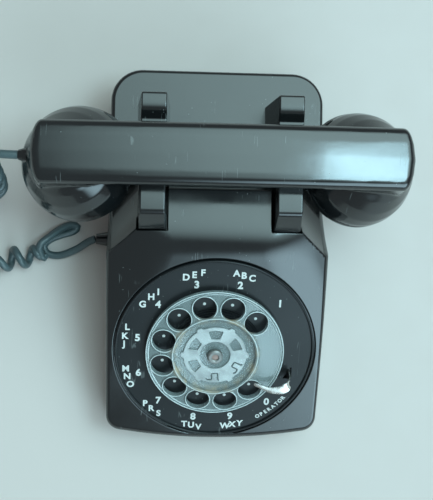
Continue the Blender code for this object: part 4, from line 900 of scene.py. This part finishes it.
def make_lettering():
    """The figures, the letters, the word by the 0 and a dot under each finger hole."""
    shapes = [glyph(text, height, (x * MM, y * MM), 0.0)
              for table, height in ((DIGITS, DIGIT_HEIGHT), (LETTERS, LETTER_HEIGHT))
              for text, (x, y) in table.items()]
    for k, text in enumerate(WORD):
        angle = WORD_START + WORD_SPAN * k / (len(WORD) - 1)
        place = (WORD_CIRCLE * cos(angle), WORD_CIRCLE * sin(angle))
        shapes.append(glyph(text, SMALL_HEIGHT, place, angle + pi / 2))
    dot = turned(in_mm([(0, -0.03), (0.95, -0.03), (0.8, 0.08), (0, 0.1)]), 20)
    for k in range(FINGER_HOLES):
        angle = FIRST_HOLE + HOLE_STEP * k
        spot = Vector((FINGER_CIRCLE * cos(angle), FINGER_CIRCLE * sin(angle), -PLATE_SINK))
        shapes.append(moved(dot, Matrix.Translation(spot)))
    lettering = piece("dial_lettering", gathered(shapes), white_paint, "base", DIAL)


def make_finger_wheel():
    """The clear coned wheel, a collar round each finger hole, and painted highlight on its edges as thin
    beads.
    """
    slope = (WHEEL_HUB_TOP - WHEEL_RIM_TOP) / (WHEEL_RADIUS - WHEEL_HUB_RADIUS)
    inner, hub, rim = SHAFT_RADIUS / MM + 0.3, WHEEL_HUB_RADIUS / MM, WHEEL_RADIUS / MM
    top, low, thick = WHEEL_HUB_TOP / MM, WHEEL_RIM_TOP / MM, WHEEL_THICKNESS / MM
    well, r = top - WELL_DEPTH / MM, FINGER_HOLE_RADIUS / MM
    profile = [(inner, well - 1.8), (hub - 2, well - 1.8), (hub, top - thick), (rim - 1.5, low - thick),
               (rim, low - thick + 0.6), (rim, low + 0.7), (rim - 0.5, low + 1), (rim - 1.3, low + 1),
               (rim - 2, low + 2 * slope), (hub + 1.6, top - 1.6 * slope), (hub + 1, top + 0.5),
               (hub - 0.4, top + 0.5), (hub - 1, top), (hub - 1, well), (inner, well)]
    wheel = piece("clear_wheel", turned(in_mm(rounded(profile, 0.3, 2)), 120), FINISHES["clear_plastic"])
    collar = in_mm([(r - 0.5, -2.2), (r + 1, -2.2), (r + 1, 0), (r + 0.7, 0.45), (r + 0.2, 0.45),
                    (r - 0.5, 0.3)])
    bore = in_mm([(0, -5), (r + 0.25, -5), (r, -0.8), (r, 0), (r + 0.3, 0.6), (r + 0.5, 4), (0, 4)])
    seat_height = WHEEL_RIM_TOP + (WHEEL_RADIUS - FINGER_CIRCLE) * slope
    seats = [Matrix.Rotation(FIRST_HOLE + HOLE_STEP * k, 4, "Z")
             @ Matrix.Translation((FINGER_CIRCLE, 0, seat_height)) @ Matrix.Rotation(HOLE_LEAN, 4, "Y")
             for k in range(FINGER_HOLES)]
    for name, operation, tool in (("collars", "UNION", collar), ("drills", "DIFFERENCE", bore)):
        tools = gathered([moved(turned(tool, 48), seat) for seat in seats])
        shaped(wheel, operation, piece(name, tools, None))
    flat = Matrix.Identity(4)
    # Thin beads of painted highlight along the rim, the hub's top and each finger hole's collar.
    rings = [(rim - 0.4, low + 0.95, flat), (rim - 1.7, low + 0.6, flat), (hub + 0.3, top + 0.4, flat)]
    rings += [(r + 0.45, 0.4, seat) for seat in seats]
    edges = []
    for radius, height, seat in rings:
        bead = [(radius * MM + BEAD * cos(a), height * MM + BEAD * sin(a)) for a in full_turn(8)]
        edges.append(moved(turned(bead, 80), seat))
    beads = piece("wheel_edge_glints", gathered(edges), painted_edge_glint, "dial", DIAL)
    wheel.data.transform(DIAL)
    shade(wheel.data, radians(35))
    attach(wheel, "dial")
    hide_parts("finger_wheel")


def make_clamp():
    """The steel clamp in the wheel's well, with its windows and its two hooked slots."""
    well = WHEEL_HUB_TOP - WELL_DEPTH
    rim = []
    for angle in full_turn(240):
        reach = CLAMP_RADIUS + 1.4 * MM * smooth_step(8 * (cos(6 * angle) - 0.80))
        rim.append((reach * cos(angle), reach * sin(angle)))
    clamp = piece("dial_clamp", raised(rim, well + 0.3 * MM, well + MM), hub_metal)
    cut = 20 * MM
    cutters = [turned([(0, 0), (CLAMP_WINDOW, 0), (CLAMP_WINDOW, cut), (0, cut)], 72)]
    window = [(10.6, -2.6), (15.6, -4.4), (16.4, 0), (15.6, 4.4), (10.6, 2.6)]
    window = raised(in_mm(rounded(window, 0.5)), 0, cut)
    cutters += [moved(window, Matrix.Rotation(radians(turn), 4, "Z")) for turn in (30, 90, 150, 210)]
    hook = [(10.4, -5.2), (16.4, -4.6), (16.6, -1.4), (12.4, -1.6), (12.2, 2.0), (17.0, 2.2), (17.0, 5.2)]
    line = evenly(in_mm(rounded(hook, 0.9)[5:-5]), 0.5 * MM)
    sideways = [heading(line, k).orthogonal() * 0.45 * MM for k in range(len(line))]
    slot = [p + aside for p, aside in zip(line, sideways)]
    slot += [p - aside for p, aside in reversed(list(zip(line, sideways)))]
    slot = raised(slot, 0, cut)
    cutters += [moved(slot, Matrix.Rotation(radians(turn), 4, "Z")) for turn in (270, 330)]
    shaped(clamp, "DIFFERENCE", piece("windows", gathered(cutters), None))
    clamp.data.transform(DIAL)
    soften(clamp, 0.12 * MM, 2)
    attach(clamp, "dial")
    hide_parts("wheel_clamp")


def make_wheel_cover():
    """The dished clear cover over the clamp, the nut and the shaft's tip."""
    low = (WHEEL_HUB_TOP - WELL_DEPTH) / MM + 1.3
    inner, reach = SHAFT_RADIUS / MM + 0.3, WHEEL_HUB_RADIUS / MM - 1.4
    cover = [(inner, low - 0.5), (8.0, low - 0.5), (9.4, low), (reach, low), (reach, low + 0.8),
             (9.6, low + 0.9), (8.2, low + 0.3), (inner, low + 0.3)]
    cover = piece("dial_cover", turned(in_mm(rounded(cover, 0.4, 3))), cover_clear, "dial", DIAL)
    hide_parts("card_cover")
    seat = Matrix.Translation((0, 0, (low + 0.35) * MM))
    rings = [(1.9, 0.2), (1.9, 1.9), (2.4, 2.3), (3.6, 2.3), (4.4, 1.6), (4.6, 0.0), (1.9, 0.0)]
    nut = piece("hub_nut", turned(in_mm(rings), 64), nut_metal, "dial", DIAL @ seat)
    tip = turned(in_mm([(0, 0), (1.85, 0), (1.85, 1.5), (0, 1.6)]), 40)
    piece("shaft_tip", tip, pink_brass, "dial", DIAL @ seat)
    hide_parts("dial_nut")


def make_finger_stop():
    """A bent steel blade: up out of the plate, then in over the finger wheel and narrower there."""
    route = [(44.6, -15.6, -2.5), (44.8, -15.8, 3.0), (44.6, -16.6, 7.4), (43.4, -18.2, 9.1),
             (40.9, -20.4, 9.4), (36.6, -21.2, 9.3), (32.3, -20.7, 9.1), (27.9, -19.0, 8.9),
             (23.5, -17.2, 8.5)]
    line = spline(in_mm(route), 0.5 * MM)
    thick = 0.4 * MM
    loops = []
    for k, p in enumerate(line):
        along = heading(line, k)
        share = k / (len(line) - 1)
        tip = sqrt(max(1 - max((share - 0.95) / 0.05, 0) ** 2, 0.04))
        half = (2.9 - 1.8 * smooth_step((share - 0.35) / 0.6)) * MM * tip
        across = Vector((0, 1, 0))
        across = (across - along * across.dot(along)).normalized()
        up = along.cross(across)
        section = rounded([(-half, -thick), (half, -thick), (half, thick), (-half, thick)], 0.2 * MM, 2)
        loops.append([p + across * a + up * b for a, b in section])
    blade = piece("stop_blade", lofted(loops), FINISHES["bright_steel"], "base", DIAL, radians(50))
    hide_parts("finger_stop")


# -------- handset
def handle_loop(x):
    """The handle's closed cross-section at x: a crowned top, creased edges and drawn-in sides."""
    along, end, side = abs(x), HANDLE_END, 1 if x > 0 else -1
    near_end = smooth_step((along - (end - 26 * MM)) / (26 * MM))
    t = min(max((along - (end - 5 * MM)) / (5 * MM), 0.0), 1.0)
    round_off = 1 - sqrt(max(1 - t * t, 0.0))
    top = HANDLE_TOP - 0.3 * MM - 2.2 * MM * (along / end) ** 2 - 8 * MM * round_off
    bottom = HANDLE_BOTTOM - 14 * MM * smooth_step((along - (end - 50 * MM)) / (30 * MM))
    flare = 7 * MM * smooth_step((along - (end - 45 * MM)) / (30 * MM))
    edge = HANDLE_TOP_WIDTH / 2
    wide, narrow = HANDLE_WIDTH / 2, HANDLE_BOTTOM_WIDTH / 2
    section = [(0.0, top), (0.6 * edge, top - 0.12 * MM), (0.85 * edge, top - 0.6 * MM),
               (edge - 0.6 * MM, top - 1.5 * MM), (edge + 0.3 * MM, top - 2.6 * MM), (wide, top - 4.6 * MM),
               (wide - 0.7 * MM, top - 9 * MM), (narrow + 3 * MM + 0.6 * flare, bottom + 4 * MM),
               (narrow - 2 * MM + flare, bottom + 0.4 * MM), (0.0, bottom)]
    half = []
    for width, z in section:
        share = (z - bottom) / (top - bottom)
        shift = near_end * (2.2 * MM * share + 2.6 * MM * (width / edge) ** 2)
        half.append(Vector((x - side * shift, width * (1 - 0.3 * round_off), z)))
    left = [Vector((p.x, HANDLE_Y - p.y, p.z)) for p in reversed(half[1:-1])]
    return [Vector((p.x, HANDLE_Y + p.y, p.z)) for p in half] + left


def cup_matrix(side):
    """The middle of one cap's outer face, its +Z running up into the handset."""
    spot = Vector((side * (HANDLE_END - CAP_INSET), HANDLE_Y - 1.0 * MM, HANDLE_TOP - FACE_BELOW_TOP))
    return Matrix.Translation(spot) @ Matrix.Rotation(side * CUP_TILT, 4, "Y")


def make_handset():
    """The handle and its two cups, run together with soft joins, and the caps."""
    stations = [HANDLE_END * sin(radians(a)) for a in range(-90, 91, 3)]
    r = CAP_RADIUS / MM
    cup = turned(in_mm([(0, 9), (r - 3.2, 9), (r - 3.2, 12.7), (r - 0.2, 12.7), (r - 0.7, 17),
                        (r - 2.6, 23), (r - 6.5, 30), (r - 12, 37), (r - 19, 44), (r - 25, 50), (0, 50)]))
    shapes = [lofted([handle_loop(x) for x in stations])]
    shapes += [moved(cup, cup_matrix(side)) for side in (-1, 1)]
    handset = piece("handset_shell", gathered(shapes), FINISHES["housing_black"])
    remesh = handset.modifiers.new("Join", "REMESH")
    remesh.mode = "VOXEL"
    remesh.voxel_size = 0.7 * MM
    smooth = handset.modifiers.new("Smooth", "SMOOTH")
    smooth.iterations = 6
    smooth.factor = 0.5
    settle(handset)
    handset.data.shade_smooth()
    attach(handset, "handset")
    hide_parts("handset_handle")
    make_caps()


def make_caps():
    """The screw caps over the receiver and the transmitter, with their sound holes."""
    r = CAP_RADIUS / MM
    skirt = r - 2.9
    profile = in_mm([(0, 0), (14, 0.1), (22, 0.5), (r - 4.5, 1.8), (r - 1.8, 4), (r - 0.4, 7.2), (r, 9.5),
                     (r - 0.1, 11.6), (r - 0.5, 12.2), (skirt, 12.2), (skirt, 4.6), (skirt - 3, 3.2),
                     (0, 2.6)])
    bore = turned([(0, -2 * MM), (SOUND_HOLE, -2 * MM), (SOUND_HOLE, 4 * MM), (0, 4 * MM)], 20)
    for name, side, holes in (("transmitter", -1, 8), ("receiver", 1, 6)):
        cap = piece(f"{name}_screw_cap", turned(profile), FINISHES["housing_black"])
        places = [Vector((SOUND_CIRCLE * cos(a), SOUND_CIRCLE * sin(a), 0)) for a in full_turn(holes)]
        bores = gathered([moved(bore, Matrix.Translation(place)) for place in places])
        shaped(cap, "DIFFERENCE", piece("bores", bores, None))
        cap.data.transform(cup_matrix(side))
        shade(cap.data, radians(35))
        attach(cap, "handset")
        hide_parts(f"{name}_cap")


# -------- stage
# Glows: direction, cosines where each starts and is full, strength, colour
GLOWS = [((0.34, 0.25, 0.91), 0.80, 1.00, 3.7, (0.68, 1.00, 1.03)),
         ((0.45, -0.72, 0.53), 0.875, 0.985, 5.0, (0.62, 0.92, 1.05))]
SURROUNDINGS = (0.24, 0.27, 0.28)
WINDOW_PLACE = Vector((0.46, 0.05, 1.25))
WINDOW_TARGET = Vector((0.08, 0.05, 0.1))
WINDOW_SIZE = (0.42, 0.34)
WINDOW_POWER = 6.5
WINDOW_COLOUR = (0.50, 0.86, 1.0)


def make_surroundings():
    """A dim room with a bright ceiling to the right and a bright window in front."""
    world = bpy.data.worlds.new("studio")
    world.use_nodes = True
    tree = world.node_tree
    direction = add(tree, "TexCoord").outputs["Generated"]
    total = SURROUNDINGS
    for towards, start, full, strength, colour in GLOWS:
        aim = Vector(towards).normalized()
        cosine = add(tree, "VectorMath", {0: direction, 1: aim}, operation="DOT_PRODUCT").outputs["Value"]
        limits = {"Value": cosine, "From Min": start, "From Max": full, "To Max": strength}
        share = add(tree, "MapRange", limits, interpolation_type="SMOOTHSTEP").outputs["Result"]
        glow = add(tree, "VectorMath", {0: colour, "Scale": share}, operation="SCALE").outputs[0]
        total = add(tree, "VectorMath", {0: glow, 1: total}, operation="ADD").outputs[0]
    tree.links.new(total, tree.nodes["Background"].inputs["Color"])
    bpy.context.scene.world = world


def make_window():
    """The lit window up on the right."""
    data = bpy.data.lights.new("window", "AREA")
    data.shape = "RECTANGLE"
    data.size, data.size_y = WINDOW_SIZE
    data.energy = WINDOW_POWER
    data.color = WINDOW_COLOUR
    window = placed("window", data)
    window.location = WINDOW_PLACE
    window.rotation_euler = (WINDOW_PLACE - WINDOW_TARGET).to_track_quat("Z", "Y").to_euler()


def make_stage():
    """The floor, the surroundings and the light."""
    floor_finish = matt("floor_finish", (0.50, 0.44, 0.41), 0.6, 60.0, 0.02, 0.01 * MM)
    corners = [(-3, -3, 0), (3, -3, 0), (3, 3, 0), (-3, 3, 0)]
    plane = piece("floor", (corners, [(0, 1, 2, 3)]), floor_finish)
    plane.location.z = -0.02 * MM
    make_surroundings()
    make_window()
    bpy.context.scene.view_settings.view_transform = "Standard"


make_camera()
finish_cad_nodes()
make_cord()
make_housing()
make_ears()
make_number_plate()
make_lettering()
make_finger_wheel()
make_clamp()
make_wheel_cover()
make_finger_stop()
make_handset()
make_stage()
